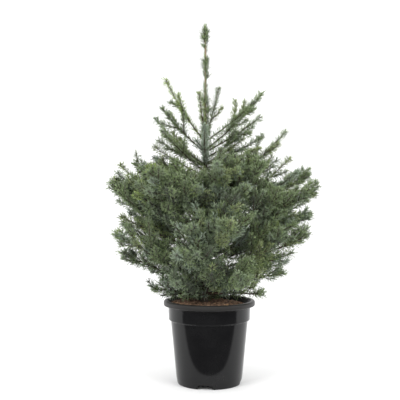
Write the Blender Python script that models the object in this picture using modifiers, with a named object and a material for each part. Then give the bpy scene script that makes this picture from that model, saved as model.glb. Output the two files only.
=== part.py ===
"""Potted Serbian spruce: a young narrow conifer, about 0.9 m tall, standing in a black nursery pot.

Metres, +Z up. The origin is the middle of the pot's underside and the front of the tree faces -Y.
Azimuths are degrees about +Z, counted from +X (the right of the front view) towards +Y (the back).
"""

import math
import random

import bmesh
import bpy
from mathutils import Vector
from mathutils.bvhtree import BVHTree

MM = 0.001
FIT = 0.3 * MM  # the gap between two solids that touch
WELD = 0.002 * MM  # points closer than this are one

# Pot: a thin moulded tub with a thick rolled lip, a straight collar and a tapering body
POT_SIDES = 30
RIM_RADIUS = 115 * MM
POT_HEIGHT = 208 * MM
LIP_DROP = 13 * MM
MOUTH_RADIUS = 105 * MM
COLLAR_RADIUS = 103.5 * MM
SHOULDER_HEIGHT = 157 * MM
BODY_TOP_RADIUS = 97 * MM
BODY_FOOT_RADIUS = 83 * MM
FOOT_RADIUS = 81 * MM
FOOT_HEIGHT = 13 * MM
POT_WALL = 1.8 * MM
CHANNEL_WIDTH = 35 * MM
CHANNEL_HEIGHT = 10.7 * MM
CHANNEL_LENGTH = 45 * MM
CHANNEL_TURN = -98.4  # the front channel sits a little left of the middle
CHANNELS = 4
DRAIN_RADIUS = 6 * MM
DRAIN_SIDES = 8
DRAIN_INSET = 12 * MM  # from the inner end of a channel to the middle of its hole
CUT_CLEAR = 20 * MM  # how far a cutter runs on past the face it opens

# Compost: bark mulch that fills the pot to a little below the lip
SOIL_HEIGHT = 193 * MM
SOIL_DIP = 3 * MM
SOIL_CROWN = 20 * MM  # the level middle that the trunk stands on

# Trunk: (height, x, y, radius), from the flat cut at the soil to the bud under this year's leader
TRUNK = (
    (193.3, -12.0, 0.0, 13.5),
    (199, -12.0, 0.0, 10.6),
    (212, -11.8, 0.0, 9.4),
    (260, -11.2, 0.5, 8.7),
    (340, -10.4, 1.0, 7.6),
    (430, -9.8, 0.8, 6.6),
    (520, -9.4, 0.4, 5.4),
    (600, -9.4, 0.0, 4.2),
    (690, -9.8, 0.0, 3.2),
    (776, -9.6, 0.0, 2.4),
)

# Lower boughs: (height on the trunk, azimuth, reach of the tip from the trunk, height of the tip)
BOUGHS = {
    "w1_left": (222, 193, 140, 240),
    "w1_right": (224, 338, 160, 229),
    "w1_front": (226, 266, 132, 226),
    "w1_back": (228, 82, 142, 236),
    "w2_left": (244, 170, 225, 327),
    "w2_right": (243, 12, 218, 272),
    "w2_front": (248, 300, 205, 276),
    "w2_back": (250, 116, 214, 292),
    "w3_left": (270, 208, 248, 381),
    "w3_right": (274, 347, 268, 380),
    "w3_front": (284, 252, 222, 338),
    "w3_back": (288, 52, 240, 362),
    "w4_left": (312, 149, 236, 430),
    "w4_right": (315, 8, 282, 427),
    "w4_front": (319, 284, 238, 412),
    "w5_left": (352, 186, 242, 508),
    "w5_right": (356, 342, 292, 497),
    "w5_back": (360, 90, 250, 474),
    "w6_front": (402, 236, 236, 527),
    "w6_right": (405, 17, 292, 533),
    "w6_back": (409, 131, 238, 548),
}

# Upper shoots, green from the trunk out: the same four values, and the number of side sprays
SHOOTS = {
    "w7_left": (455, 167, 196, 560, 6),
    "w7_front": (458, 281, 190, 580, 6),
    "w7_right": (462, 351, 206, 634, 6),
    "w7_back": (466, 66, 196, 600, 6),
    "w8_left": (546, 178, 132, 672, 5),
    "w8_right": (549, 22, 168, 630, 5),
    "w8_front": (553, 268, 128, 640, 5),
    "w9_left": (579, 201, 121, 695, 3),
    "w9_right": (582, 339, 150, 668, 3),
    "w10_left": (606, 172, 106, 771, 3),
    "w10_right": (609, 8, 147, 735, 3),
    "w10_front": (616, 246, 42, 733, 0),
    "w10_back": (620, 48, 53, 752, 1),
}

# Leader and sleeve: heights on the axis of the trunk
LEADER_TIP = 904
LEADER_TUFTS = ((779, 827), (855, 904))
SLEEVE = (692, 752)
SLEEVE_CORE = 8 * MM
SLEEVE_REACH = 14 * MM
LEADER_RADIUS = 1.6 * MM
LEADER_STEM = 0.95  # the share of the leader that its bare stem runs up, inside the tip's tuft

# How a bough grows
BOUGH_SHARE = 0.30  # the woody limb, as a share of the way to the tip
KNEE_SHARE = 0.55
KNEE_RISE = 0.38
KNEE_LIFT = 4 * MM
LIMB_POINTS = 6
LIMB_RADIUS = 4.4 * MM
LIMB_TIP_RADIUS = 2.9 * MM
STEM_RADIUS = 3.0 * MM
STEM_TIP_RADIUS = 1.7 * MM
TIP_OVERLAP = 6 * MM
SHOOT_RADIUS = 2.4 * MM
BOUGH_SPRAYS = 10
FIRST_SPRAY = 0.33
LAST_SPRAY = 0.84
GOLDEN_TURN = math.radians(137.5)
SIDE_ANGLE = math.radians(50)
FLATTENING = 0.75
SPRAY_LENGTH = 0.46  # of the bough, for the lowest side spray
SPRAY_SHORTENING = 0.9
SHORTEST_SPRAY = 42 * MM
UPWARD_BEND = 0.22
SPRAY_SCATTER = 0.03
TURN_SCATTER = 0.5
ANGLE_SCATTER = 0.15
RETRY_SHORTENING = 0.12
TRIES = 5

# How a spray of needles is made
SPRAY_SIDES = 3
CORE_RADIUS = 2.8 * MM
TIP_CORE_RADIUS = 3.8 * MM
ROOT_DEPTH = 1.2 * MM
ROOT_STEP = 3 * MM
ROOT_RADIUS = 1.3 * MM
ROOT_ROOM = 8 * MM
NEEDLE_REACH = 14 * MM
SHOOT_REACH = 12 * MM
NEEDLE_LEAN = 0.85  # how far a needle leans forward, as a share of how far it stands out
NEEDLE_SHORTENING = 0.45
NEEDLE_SPACING = 20 * MM
TUFT_REACH = 11 * MM
TUFT_SPACING = 10 * MM
TIP_TURN = 0.6
UPRIGHT = Vector((0, 0, 1))
OFF_UPRIGHT = Vector((0.13, 0.21, 1.0))  # a direction that no spray grows along
BOUGH_TIP_START = 0.74
SHOOT_TIP_START = 0.45

# The crown's outline: (height, furthest reach from the trunk) that no side spray may pass
CROWN = (
    (205, 130),
    (240, 165),
    (275, 212),
    (330, 235),
    (380, 258),
    (430, 266),
    (540, 266),
    (575, 222),
    (640, 200),
    (700, 150),
    (780, 120),
    (910, 40),
)
LOPSIDED = 0.09  # how much wider than this the crown is on its right, and narrower on its left
GROWTH_SEED = 5


def add_material(name, colour, roughness, metallic=0.0):
    material = bpy.data.materials.new(name)
    material.use_nodes = True
    shader = material.node_tree.nodes["Principled BSDF"]
    shader.inputs["Base Color"].default_value = (*colour, 1.0)
    shader.inputs["Roughness"].default_value = roughness
    shader.inputs["Metallic"].default_value = metallic
    return material


for old in list(bpy.data.objects):
    bpy.data.objects.remove(old, do_unlink=True)

tree = bpy.data.collections.new("potted_serbian_spruce")
cutters = bpy.data.collections.new("cutters")
bpy.context.scene.collection.children.link(tree)
bpy.context.scene.collection.children.link(cutters)

BLACK_PLASTIC = add_material("black_plastic", (0.012, 0.012, 0.013), 0.35)
BARK_MULCH = add_material("bark_mulch", (0.075, 0.034, 0.020), 0.9)
TRUNK_BARK = add_material("trunk_bark", (0.085, 0.062, 0.045), 0.85)
BOUGH_BARK = add_material("bough_bark", (0.105, 0.075, 0.048), 0.8)
NEEDLES = add_material("needles", (0.080, 0.125, 0.075), 0.6)


def add_mesh_object(name, mesh, collection, material=None):
    made = bpy.data.objects.new(name, mesh)
    collection.objects.link(made)
    if material:
        mesh.materials.clear()
        mesh.materials.append(material)
    return made


def as_cutter(obj):
    obj.hide_render = True
    obj.display_type = "WIRE"
    return obj


def one_closed_shell(mesh):
    """Leaves the mesh's largest shell, so that sealed hollows are filled, and says whether it is closed."""
    bm = bmesh.new()
    bm.from_mesh(mesh)
    bmesh.ops.triangulate(bm, faces=bm.faces)
    left = set(bm.faces)
    largest = []
    while left:
        shell = [left.pop()]
        for face in shell:
            for edge in face.edges:
                for other in edge.link_faces:
                    if other in left:
                        left.remove(other)
                        shell.append(other)
        largest = max(largest, shell, key=len)
    kept = set(largest)
    bmesh.ops.delete(bm, geom=[face for face in bm.faces if face not in kept], context="FACES")
    bm.to_mesh(mesh)
    bmesh.ops.remove_doubles(bm, verts=bm.verts, dist=WELD)
    closed = all(edge.is_manifold and edge.is_contiguous for edge in bm.edges)
    bm.free()
    return closed


def flattened(obj, collection, material=None):
    """The object with its curve or modifiers made a plain mesh, in place of it."""
    graph = bpy.context.evaluated_depsgraph_get()
    mesh = bpy.data.meshes.new_from_object(obj.evaluated_get(graph))
    name = obj.name
    bpy.data.objects.remove(obj, do_unlink=True)
    bm = bmesh.new()
    bm.from_mesh(mesh)
    bmesh.ops.remove_doubles(bm, verts=bm.verts, dist=WELD)
    bmesh.ops.recalc_face_normals(bm, faces=bm.faces)
    bm.to_mesh(mesh)
    bm.free()
    return add_mesh_object(name, mesh, collection, material)


def add_turned(name, profile, collection, material=None):
    """A solid of revolution; the profile runs from the axis at the top, down the outside, to the axis."""
    mesh = bpy.data.meshes.new(name)
    edges = [(i, i + 1) for i in range(len(profile) - 1)]
    mesh.from_pydata([(radius, 0, height) for radius, height in profile], edges, [])
    made = add_mesh_object(name, mesh, collection, material)
    screw = made.modifiers.new("Turn", "SCREW")
    screw.steps = POT_SIDES
    screw.render_steps = POT_SIDES
    screw.use_merge_vertices = True
    screw.merge_threshold = WELD
    return made


def add_boolean(obj, operation, cutter):
    boolean = obj.modifiers.new(operation.title(), "BOOLEAN")
    boolean.operation = operation
    boolean.object = cutter
    boolean.solver = "EXACT"


def add_limb(name, points, radii, level, collection, material=None):
    """A tapering round limb through the points, as a plain mesh with flat ends."""
    curve = bpy.data.curves.new(name, "CURVE")
    curve.dimensions = "3D"
    curve.bevel_depth = 1.0
    curve.bevel_resolution = level
    curve.use_fill_caps = True
    spline = curve.splines.new("POLY")
    spline.points.add(len(points) - 1)
    for place, point, radius in zip(spline.points, points, radii):
        place.co = (*point, 1.0)
        place.radius = radius
    limb = bpy.data.objects.new(name, curve)
    collection.objects.link(limb)
    return flattened(limb, collection, material)


# Pot
def add_channels(name, grow):
    """The drain channels under the pot's floor, each side moved out by grow, as one cutter."""
    bm = bmesh.new()
    for turn in range(CHANNELS):
        angle = math.radians(CHANNEL_TURN + turn * 360 / CHANNELS)
        out = Vector((math.cos(angle), math.sin(angle), 0))
        side = Vector((-math.sin(angle), math.cos(angle), 0))
        made = bmesh.ops.create_cube(bm, size=1.0)
        inner = FOOT_RADIUS - CHANNEL_LENGTH - grow
        outer = RIM_RADIUS
        low = -CUT_CLEAR
        high = CHANNEL_HEIGHT + grow
        for vert in made["verts"]:
            x, y, z = vert.co
            along = inner if x < 0 else outer
            across = math.copysign(CHANNEL_WIDTH / 2 + grow, y)
            vert.co = out * along + side * across + Vector((0, 0, low if z < 0 else high))
    mesh = bpy.data.meshes.new(name)
    bm.to_mesh(mesh)
    bm.free()
    return as_cutter(add_mesh_object(name, mesh, cutters))


def inside_profile(shrink):
    """The pot's inside: its wall drawn in by the wall's thickness and shrink, without its top."""
    wall = POT_WALL + shrink
    return [
        (COLLAR_RADIUS - wall, SHOULDER_HEIGHT + 6 * MM),
        (BODY_TOP_RADIUS - wall, SHOULDER_HEIGHT - 2 * MM),
        (BODY_FOOT_RADIUS - wall, FOOT_HEIGHT + 3 * MM),
        (FOOT_RADIUS - wall - 1 * MM, wall + 3 * MM),
        (FOOT_RADIUS - wall - 4 * MM, wall),
        (0, wall),
    ]


outside = [
    (0, POT_HEIGHT),
    (RIM_RADIUS - 4.5 * MM, POT_HEIGHT),
    (RIM_RADIUS - 1.2 * MM, POT_HEIGHT - 1.2 * MM),
    (RIM_RADIUS, POT_HEIGHT - 4 * MM),
    (RIM_RADIUS, POT_HEIGHT - LIP_DROP + 3 * MM),
    (RIM_RADIUS - 2.5 * MM, POT_HEIGHT - LIP_DROP),
    (COLLAR_RADIUS, POT_HEIGHT - LIP_DROP - 5 * MM),
    (COLLAR_RADIUS - 1 * MM, SHOULDER_HEIGHT + 5 * MM),
    (BODY_TOP_RADIUS, SHOULDER_HEIGHT),
    (BODY_FOOT_RADIUS, FOOT_HEIGHT + 2 * MM),
    (FOOT_RADIUS, FOOT_HEIGHT),
    (FOOT_RADIUS - 0.5 * MM, 2.5 * MM),
    (FOOT_RADIUS - 3 * MM, 0),
    (0, 0),
]
mouth = [
    (0, POT_HEIGHT + CUT_CLEAR),
    (MOUTH_RADIUS, POT_HEIGHT + CUT_CLEAR),
    (MOUTH_RADIUS, POT_HEIGHT - 1 * MM),
    (COLLAR_RADIUS - POT_WALL, POT_HEIGHT - 5 * MM),
]
hollow = as_cutter(add_turned("pot_hollow", mouth + inside_profile(0), cutters))
add_boolean(hollow, "DIFFERENCE", add_channels("channel_arches", POT_WALL))
drains = bmesh.new()
for turn in range(CHANNELS):
    angle = math.radians(CHANNEL_TURN + turn * 360 / CHANNELS)
    made = bmesh.ops.create_cone(
        drains,
        cap_ends=True,
        segments=DRAIN_SIDES,
        radius1=DRAIN_RADIUS,
        radius2=DRAIN_RADIUS,
        depth=CUT_CLEAR,
    )
    reach = FOOT_RADIUS - CHANNEL_LENGTH + DRAIN_INSET
    middle = Vector((reach * math.cos(angle), reach * math.sin(angle), CHANNEL_HEIGHT))
    bmesh.ops.translate(drains, verts=made["verts"], vec=middle)
drain_mesh = bpy.data.meshes.new("drain_holes")
drains.to_mesh(drain_mesh)
drains.free()
drain_holes = as_cutter(add_mesh_object("drain_holes", drain_mesh, cutters))

pot = add_turned("pot", outside, tree, BLACK_PLASTIC)
add_boolean(pot, "DIFFERENCE", hollow)
add_boolean(pot, "DIFFERENCE", add_channels("channels", 0.0))
add_boolean(pot, "DIFFERENCE", drain_holes)

# Compost
soil_edge = COLLAR_RADIUS - POT_WALL - FIT
soil = [
    (0, SOIL_HEIGHT),
    (SOIL_CROWN, SOIL_HEIGHT),
    (soil_edge * 0.6, SOIL_HEIGHT - 0.5 * SOIL_DIP),
    (soil_edge, SOIL_HEIGHT - SOIL_DIP),
]
compost = add_turned("compost", soil + inside_profile(FIT), tree, BARK_MULCH)
add_boolean(compost, "DIFFERENCE", add_channels("compost_arches", POT_WALL + FIT))


# Trunk
def trunk_at(height):
    """The trunk's middle at this height."""
    for low, high in zip(TRUNK, TRUNK[1:]):
        if height <= high[0] * MM:
            break
    share = (height / MM - low[0]) / (high[0] - low[0])
    x, y = (a + (b - a) * share for a, b in zip(low[1:3], high[1:3]))
    return Vector((x * MM, y * MM, height))


trunk_line = [(x * MM, y * MM, height * MM) for height, x, y, _ in TRUNK]
trunk_radii = [radius * MM for *_, radius in TRUNK]
trunk = add_limb("trunk", trunk_line, trunk_radii, 3, tree, TRUNK_BARK)
trunk_room = as_cutter(
    add_limb("trunk_room", trunk_line, [radius + 1.1 * FIT for radius in trunk_radii], 3, cutters)
)


# Boughs and shoots
class Axis:
    """The line of a bough from the trunk's middle to its tip, a smooth bend that turns up towards the tip."""

    def __init__(self, height, azimuth, reach, tip_height):
        self.foot = trunk_at(height * MM)
        angle = math.radians(azimuth)
        out = Vector((math.cos(angle), math.sin(angle), 0))
        self.tip = self.foot + out * (reach * MM)
        self.tip.z = tip_height * MM
        self.knee = self.foot + out * (reach * MM * KNEE_SHARE)
        self.knee.z += (self.tip.z - self.foot.z) * KNEE_RISE + KNEE_LIFT
        self.length = (self.tip - self.foot).length

    def point(self, t):
        return self.foot * (1 - t) ** 2 + self.knee * (2 * t * (1 - t)) + self.tip * t**2

    def heading(self, t):
        return ((self.knee - self.foot) * (1 - t) + (self.tip - self.knee) * t).normalized()


def add_tapered(name, axis, start, end, radius, tip_radius, level, material=None):
    """A limb along the axis between two shares of it; one that starts in the trunk is cut clear of it."""
    shares = [start + (end - start) * i / (LIMB_POINTS - 1) for i in range(LIMB_POINTS)]
    points = [axis.point(t) for t in shares]
    radii = [radius + (tip_radius - radius) * i / (LIMB_POINTS - 1) for i in range(LIMB_POINTS)]
    limb = add_limb(name, points, radii, level, tree, material)
    if start == 0:
        add_boolean(limb, "DIFFERENCE", trunk_room)
        limb = flattened(limb, tree, material)
    return limb


# Needle sprays
def spray_mesh(line, length, core, root, needle, turn, spacing=NEEDLE_SPACING):
    """A slim core along a line whose alternate corners are drawn out and forward as needles.

    line(share) is a point of the line, from its root at 0 to its tip at 1. root is the core's radius
    where it leaves the stem.
    """
    rings = max(3, round(length / spacing))
    bm = bmesh.new()
    bmesh.ops.create_uvsphere(bm, u_segments=SPRAY_SIDES, v_segments=rings + 1, radius=1.0)
    for vert in bm.verts:
        around = math.atan2(vert.co.y, vert.co.x)
        ring = round((1 - math.acos(max(-1.0, min(1.0, vert.co.z))) / math.pi) * (rings + 1))
        corner = round(around / math.tau * SPRAY_SIDES)
        share = (ring - 1) / rings
        shorter = 1 - NEEDLE_SHORTENING * share
        width = core * shorter
        if ring == 1:
            share = ROOT_STEP / length
            width = root
        if ring == 0:
            share = -ROOT_DEPTH / length
        if ring in (0, rings + 1):
            width = 0.0
        elif ring > 1 and (ring + corner) % 2 == 0:
            width = needle * shorter
            share += NEEDLE_LEAN * needle * shorter / length
        ahead = (line(share + 0.01) - line(share - 0.01)).normalized()
        side = OFF_UPRIGHT.cross(ahead).normalized()
        radial = side * math.cos(around + turn) + ahead.cross(side) * math.sin(around + turn)
        vert.co = line(share) + radial * width
    bmesh.ops.triangulate(bm, faces=bm.faces)
    return bm


def skin_of(bm, grow, root=None):
    """The mesh's surface moved out by grow, for finding what it would touch, without what is near a root."""
    bm.verts.index_update()
    bm.normal_update()
    points = [vert.co + vert.normal * grow for vert in bm.verts]
    faces = [
        [vert.index for vert in face.verts]
        for face in bm.faces
        if root is None or all((vert.co - root).length > ROOT_ROOM for vert in face.verts)
    ]
    return BVHTree.FromPolygons(points, faces)


skins = []


def add_skin(obj):
    """Keeps the skin of a finished solid, so that no spray touches it."""
    bm = bmesh.new()
    bm.from_object(obj, bpy.context.evaluated_depsgraph_get())
    skins.append((obj.name, skin_of(bm, FIT)))
    bm.free()


def is_clear(bm, owner, root):
    """Whether a spray touches no other solid, and its own mass only near its root."""
    whole = skin_of(bm, FIT)
    beyond = skin_of(bm, FIT, root)
    return not any((beyond if name == owner else whole).overlap(other) for name, other in skins)


def outer_reach(height):
    """How far from the trunk the crown may reach at this height."""
    for low, high in zip(CROWN, CROWN[1:]):
        if height <= high[0] * MM:
            break
    share = (height / MM - low[0]) / (high[0] - low[0])
    return (low[1] + (high[1] - low[1]) * share) * MM


def in_crown(point):
    centre = trunk_at(min(point.z, TRUNK[-1][0] * MM))
    out = Vector((point.x - centre.x, point.y - centre.y))
    furthest = outer_reach(point.z) * (1 + LOPSIDED * out.x / max(out.length, MM))
    return point.z >= CROWN[0][0] * MM and out.length <= furthest


class Mass:
    """One mass of foliage: its stem, and the needle sprays that are fused to it."""

    def __init__(self, stem):
        self.name = stem.name
        self.stem = stem
        self.pieces = bpy.data.collections.new(self.name + "_pieces")
        bpy.context.scene.collection.children.link(self.pieces)
        add_skin(stem)

    def add(self, bm):
        skins.append((self.name, skin_of(bm, FIT)))
        mesh = bpy.data.meshes.new(self.name + "_spray")
        bm.to_mesh(mesh)
        bm.free()
        add_mesh_object(f"{self.name}_spray_{len(self.pieces.objects)}", mesh, self.pieces)

    def fuse(self):
        """Joins the sprays to the stem as one solid, leaving out the last spray for as long as that fails."""
        union = self.stem.modifiers.new("Fuse", "BOOLEAN")
        union.operation = "UNION"
        union.operand_type = "COLLECTION"
        union.collection = self.pieces
        pieces = list(self.pieces.objects)
        while True:
            for solver in ("EXACT", "MANIFOLD"):
                union.solver = solver
                graph = bpy.context.evaluated_depsgraph_get()
                mesh = bpy.data.meshes.new_from_object(self.stem.evaluated_get(graph))
                whole = one_closed_shell(mesh)
                if whole:
                    break
            if whole or not pieces:
                break
            bpy.data.objects.remove(pieces.pop(), do_unlink=True)
        for piece in pieces:
            bpy.data.objects.remove(piece, do_unlink=True)
        bpy.data.collections.remove(self.pieces)
        bpy.data.objects.remove(self.stem, do_unlink=True)
        return add_mesh_object(self.name, mesh, tree, NEEDLES)


class Bough:
    """A mass that grows along an axis: a spray that clothes its end, and side sprays turned about it."""

    def __init__(self, name, axis, start, radius, sprays, needle, tip_start):
        self.axis = axis
        self.sprays = sprays
        self.needle = needle
        self.tip_start = tip_start
        end = tip_start + TIP_OVERLAP / axis.length
        self.mass = Mass(add_tapered(name, axis, start, end, radius, STEM_TIP_RADIUS, 0))

    def add_tip(self):
        def line(share):
            return self.axis.point(self.tip_start + (1 - self.tip_start) * share)

        length = self.axis.length * (1 - self.tip_start)
        self.mass.add(spray_mesh(line, length, TIP_CORE_RADIUS, TIP_CORE_RADIUS, self.needle, TIP_TURN))

    def add_side(self, index, growth):
        """One side spray, turned by the golden angle; it is skipped where it fits nowhere."""
        share = FIRST_SPRAY + (LAST_SPRAY - FIRST_SPRAY) * index / max(1, self.sprays - 1)
        for attempt in range(TRIES):
            t = share + growth.uniform(-SPRAY_SCATTER, SPRAY_SCATTER)
            ahead = self.axis.heading(t)
            side = ahead.cross(UPRIGHT).normalized()
            around = index * GOLDEN_TURN + growth.uniform(-TURN_SCATTER, TURN_SCATTER) * (1 + attempt)
            radial = side * math.cos(around) + side.cross(ahead) * (FLATTENING * math.sin(around))
            angle = SIDE_ANGLE + growth.uniform(-ANGLE_SCATTER, ANGLE_SCATTER)
            heading = (ahead * math.cos(angle) + radial * math.sin(angle)).normalized()
            length = self.axis.length * SPRAY_LENGTH * (1 - SPRAY_SHORTENING * (t - FIRST_SPRAY))
            length = max(SHORTEST_SPRAY, length * (1 - RETRY_SHORTENING * attempt))
            root = self.axis.point(t)

            def line(share):
                return root + (heading * share + UPRIGHT * (UPWARD_BEND * share * abs(share))) * length

            spray = spray_mesh(line, length, CORE_RADIUS, ROOT_RADIUS, self.needle, around)
            if in_crown(line(1)) and is_clear(spray, self.mass.name, root):
                self.mass.add(spray)
                return
            spray.free()


for solid in (pot, compost, trunk):
    add_skin(solid)


# Leader: this year's upright shoot, bare between a ring of needles at its foot and a tuft at its tip
def upright(foot, top):
    """A straight line up the trunk's axis between two heights."""
    low = trunk_at(min(foot, TRUNK[-1][0]) * MM)
    high = low.copy()
    low.z = foot * MM
    high.z = top * MM
    return lambda share: low + (high - low) * share


leader_line = upright(TRUNK[-1][0] + FIT / MM, LEADER_TIP)
leader = Mass(
    add_limb("foliage_leader", [leader_line(0), leader_line(LEADER_STEM)], [LEADER_RADIUS] * 2, 0, tree)
)
for foot, top in LEADER_TUFTS:
    length = (top - foot) * MM
    leader.add(
        spray_mesh(
            upright(foot, top), length, TIP_CORE_RADIUS, LEADER_RADIUS, TUFT_REACH, TIP_TURN, TUFT_SPACING
        )
    )

# Sleeve: the needles that still stand round the trunk below the leader
sleeve_foot, sleeve_top = SLEEVE
sleeve_length = (sleeve_top - sleeve_foot) * MM
sleeve_line = upright(sleeve_foot, sleeve_top)
sleeve_spray = spray_mesh(
    sleeve_line, sleeve_length, SLEEVE_CORE, SLEEVE_CORE, SLEEVE_REACH, TIP_TURN, TUFT_SPACING
)
sleeve_mesh = bpy.data.meshes.new("foliage_sleeve")
sleeve_spray.to_mesh(sleeve_mesh)
sleeve_spray.free()
sleeve = add_mesh_object("foliage_sleeve", sleeve_mesh, tree)
add_boolean(sleeve, "DIFFERENCE", trunk_room)
sleeve = flattened(sleeve, tree, NEEDLES)
add_skin(sleeve)

boughs = []
for name, place in BOUGHS.items():
    axis = Axis(*place)
    limb = add_tapered("bough_" + name, axis, 0, BOUGH_SHARE, LIMB_RADIUS, LIMB_TIP_RADIUS, 1, BOUGH_BARK)
    add_skin(limb)
    start = BOUGH_SHARE + FIT / axis.length
    boughs.append(
        Bough("foliage_" + name, axis, start, STEM_RADIUS, BOUGH_SPRAYS, NEEDLE_REACH, BOUGH_TIP_START)
    )
for name, (*place, sprays) in SHOOTS.items():
    boughs.append(
        Bough("foliage_" + name, Axis(*place), 0, SHOOT_RADIUS, sprays, SHOOT_REACH, SHOOT_TIP_START)
    )

for bough in boughs:
    bough.add_tip()
growth = random.Random(GROWTH_SEED)
for index in range(BOUGH_SPRAYS):
    for bough in boughs:
        if index < bough.sprays:
            bough.add_side(index, growth)
for mass in [leader] + [bough.mass for bough in boughs]:
    mass.fuse()
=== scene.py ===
"""A young Serbian spruce, about 0.9 m tall, in a black plastic nursery pot.

Metres, +Z up. The origin is the middle of the pot's underside and the front of the tree faces -Y.
Azimuths are degrees about +Z, counted from +X (the right of the front view) towards +Y (the back).
"""

import math
import random

import bmesh
import bpy
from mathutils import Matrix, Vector, noise


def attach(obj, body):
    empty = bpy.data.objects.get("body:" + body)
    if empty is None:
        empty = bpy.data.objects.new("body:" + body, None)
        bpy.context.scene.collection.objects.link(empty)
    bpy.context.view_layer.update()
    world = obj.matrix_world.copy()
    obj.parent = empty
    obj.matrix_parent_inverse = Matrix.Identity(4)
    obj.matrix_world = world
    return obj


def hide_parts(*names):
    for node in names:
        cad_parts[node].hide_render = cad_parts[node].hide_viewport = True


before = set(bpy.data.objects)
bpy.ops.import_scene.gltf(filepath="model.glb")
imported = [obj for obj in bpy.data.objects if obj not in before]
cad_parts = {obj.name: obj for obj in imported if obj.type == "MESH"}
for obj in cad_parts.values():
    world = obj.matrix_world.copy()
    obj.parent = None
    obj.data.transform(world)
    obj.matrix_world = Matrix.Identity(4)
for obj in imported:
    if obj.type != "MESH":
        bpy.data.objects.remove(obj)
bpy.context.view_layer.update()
MM = 0.001
scene = bpy.context.scene

# Camera. It stands level with the middle of the crown, 1.85 m in front of the pot, and looks
# straight at it, a little to the left of its middle.
CAMERA_DISTANCE = 1.85
CAMERA_HEIGHT = 0.46
CAMERA_LEFT = 0.0235
CAMERA_LENS = 65.9  # on a sensor of 36 mm
camera_data = bpy.data.cameras.new("camera")
camera_data.lens = CAMERA_LENS
camera = bpy.data.objects.new("camera", camera_data)
camera.location = (-CAMERA_LEFT, -CAMERA_DISTANCE, CAMERA_HEIGHT)
camera.rotation_euler = (math.radians(90), 0, 0)
scene.collection.objects.link(camera)
scene.camera = camera
scene.view_settings.view_transform = "Standard"


# Studio. A wide white floor under an even white sky, a large soft lamp above each front corner, and
# a dark card that begins where the white table ended, seen only as a reflection in the pot.
FLOOR_SIDE = 40.0
TABLE_EDGE = -0.152
CARD_DEPTH = 2.6
CARD_WIDTH = 6.0
SKY_STRENGTH = 1.22
LAMP_SIZE = 1.6
LAMP_REACH = 2.4
LAMP_HEIGHT = 2.2
LAMP_POWERS = {"lamp_left": 58.0, "lamp_right": 50.0}


def plain_material(name, colour, roughness):
    material = bpy.data.materials.new(name)
    material.use_nodes = True
    shader = material.node_tree.nodes["Principled BSDF"]
    shader.inputs["Base Color"].default_value = (*colour, 1.0)
    shader.inputs["Roughness"].default_value = roughness
    return material


def add_plane(name, low, high, height, material):
    bm = bmesh.new()
    corners = ((low[0], low[1]), (high[0], low[1]), (high[0], high[1]), (low[0], high[1]))
    bm.faces.new([bm.verts.new((x, y, height)) for x, y in corners])
    mesh = bpy.data.meshes.new(name)
    bm.to_mesh(mesh)
    bm.free()
    mesh.materials.append(material)
    plane = bpy.data.objects.new(name, mesh)
    scene.collection.objects.link(plane)
    return plane


half = FLOOR_SIDE / 2
floor = add_plane("floor", (-half, -half), (half, half), 0.0, plain_material("white_floor", (0.9, 0.9, 0.9), 0.9))
card = add_plane(
    "dark_card",
    (-CARD_WIDTH / 2, TABLE_EDGE - CARD_DEPTH),
    (CARD_WIDTH / 2, TABLE_EDGE),
    0.5 * MM,
    plain_material("black_card", (0.004, 0.004, 0.004), 1.0),
)
card.visible_camera = False
card.visible_diffuse = False
card.visible_shadow = False

world = bpy.data.worlds.new("white_sky")
world.use_nodes = True
world.node_tree.nodes["Background"].inputs["Color"].default_value = (1.0, 1.0, 1.0, 1.0)
world.node_tree.nodes["Background"].inputs["Strength"].default_value = SKY_STRENGTH
scene.world = world

for name, power in LAMP_POWERS.items():
    lamp_data = bpy.data.lights.new(name, "AREA")
    lamp_data.shape = "SQUARE"
    lamp_data.size = LAMP_SIZE
    lamp_data.energy = power
    lamp = bpy.data.objects.new(name, lamp_data)
    across = -LAMP_REACH if name == "lamp_left" else LAMP_REACH
    lamp.location = (across, -LAMP_REACH, LAMP_HEIGHT)
    aim = Vector((0, 0, CAMERA_HEIGHT)) - lamp.location
    lamp.rotation_euler = aim.to_track_quat("-Z", "Y").to_euler()
    lamp.visible_camera = False
    lamp.visible_glossy = False
    scene.collection.objects.link(lamp)


# Pot. A thin tub of black plastic, moulded in one piece: a thick rolled lip, a straight collar, a
# shoulder, a body that tapers to the foot, and four drain channels under the floor with a hole each.
POT_SIDES = 192
RIM_RADIUS = 115 * MM
POT_HEIGHT = 208 * MM
LIP_DROP = 13 * MM
LIP_ROUND = 4.5 * MM
MOUTH_RADIUS = 105 * MM
COLLAR_RADIUS = 103.5 * MM
SHOULDER_HEIGHT = 157 * MM
BODY_TOP_RADIUS = 97 * MM
BODY_FOOT_RADIUS = 83 * MM
FOOT_RADIUS = 81 * MM
FOOT_HEIGHT = 13 * MM
POT_WALL = 1.8 * MM
CHANNEL_WIDTH = 35 * MM
CHANNEL_HEIGHT = 10.7 * MM
CHANNEL_LENGTH = 45 * MM
CHANNEL_TURN = -98.4
CHANNELS = 4
DRAIN_RADIUS = 6 * MM
DRAIN_INSET = 12 * MM
CUT_CLEAR = 20 * MM


def arc(middle, radius, start, end, steps):
    """Points of a round corner in a profile, as (radius, height), between two angles in degrees."""
    for step in range(steps + 1):
        angle = math.radians(start + (end - start) * step / steps)
        yield middle[0] + radius * math.cos(angle), middle[1] + radius * math.sin(angle)


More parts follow.
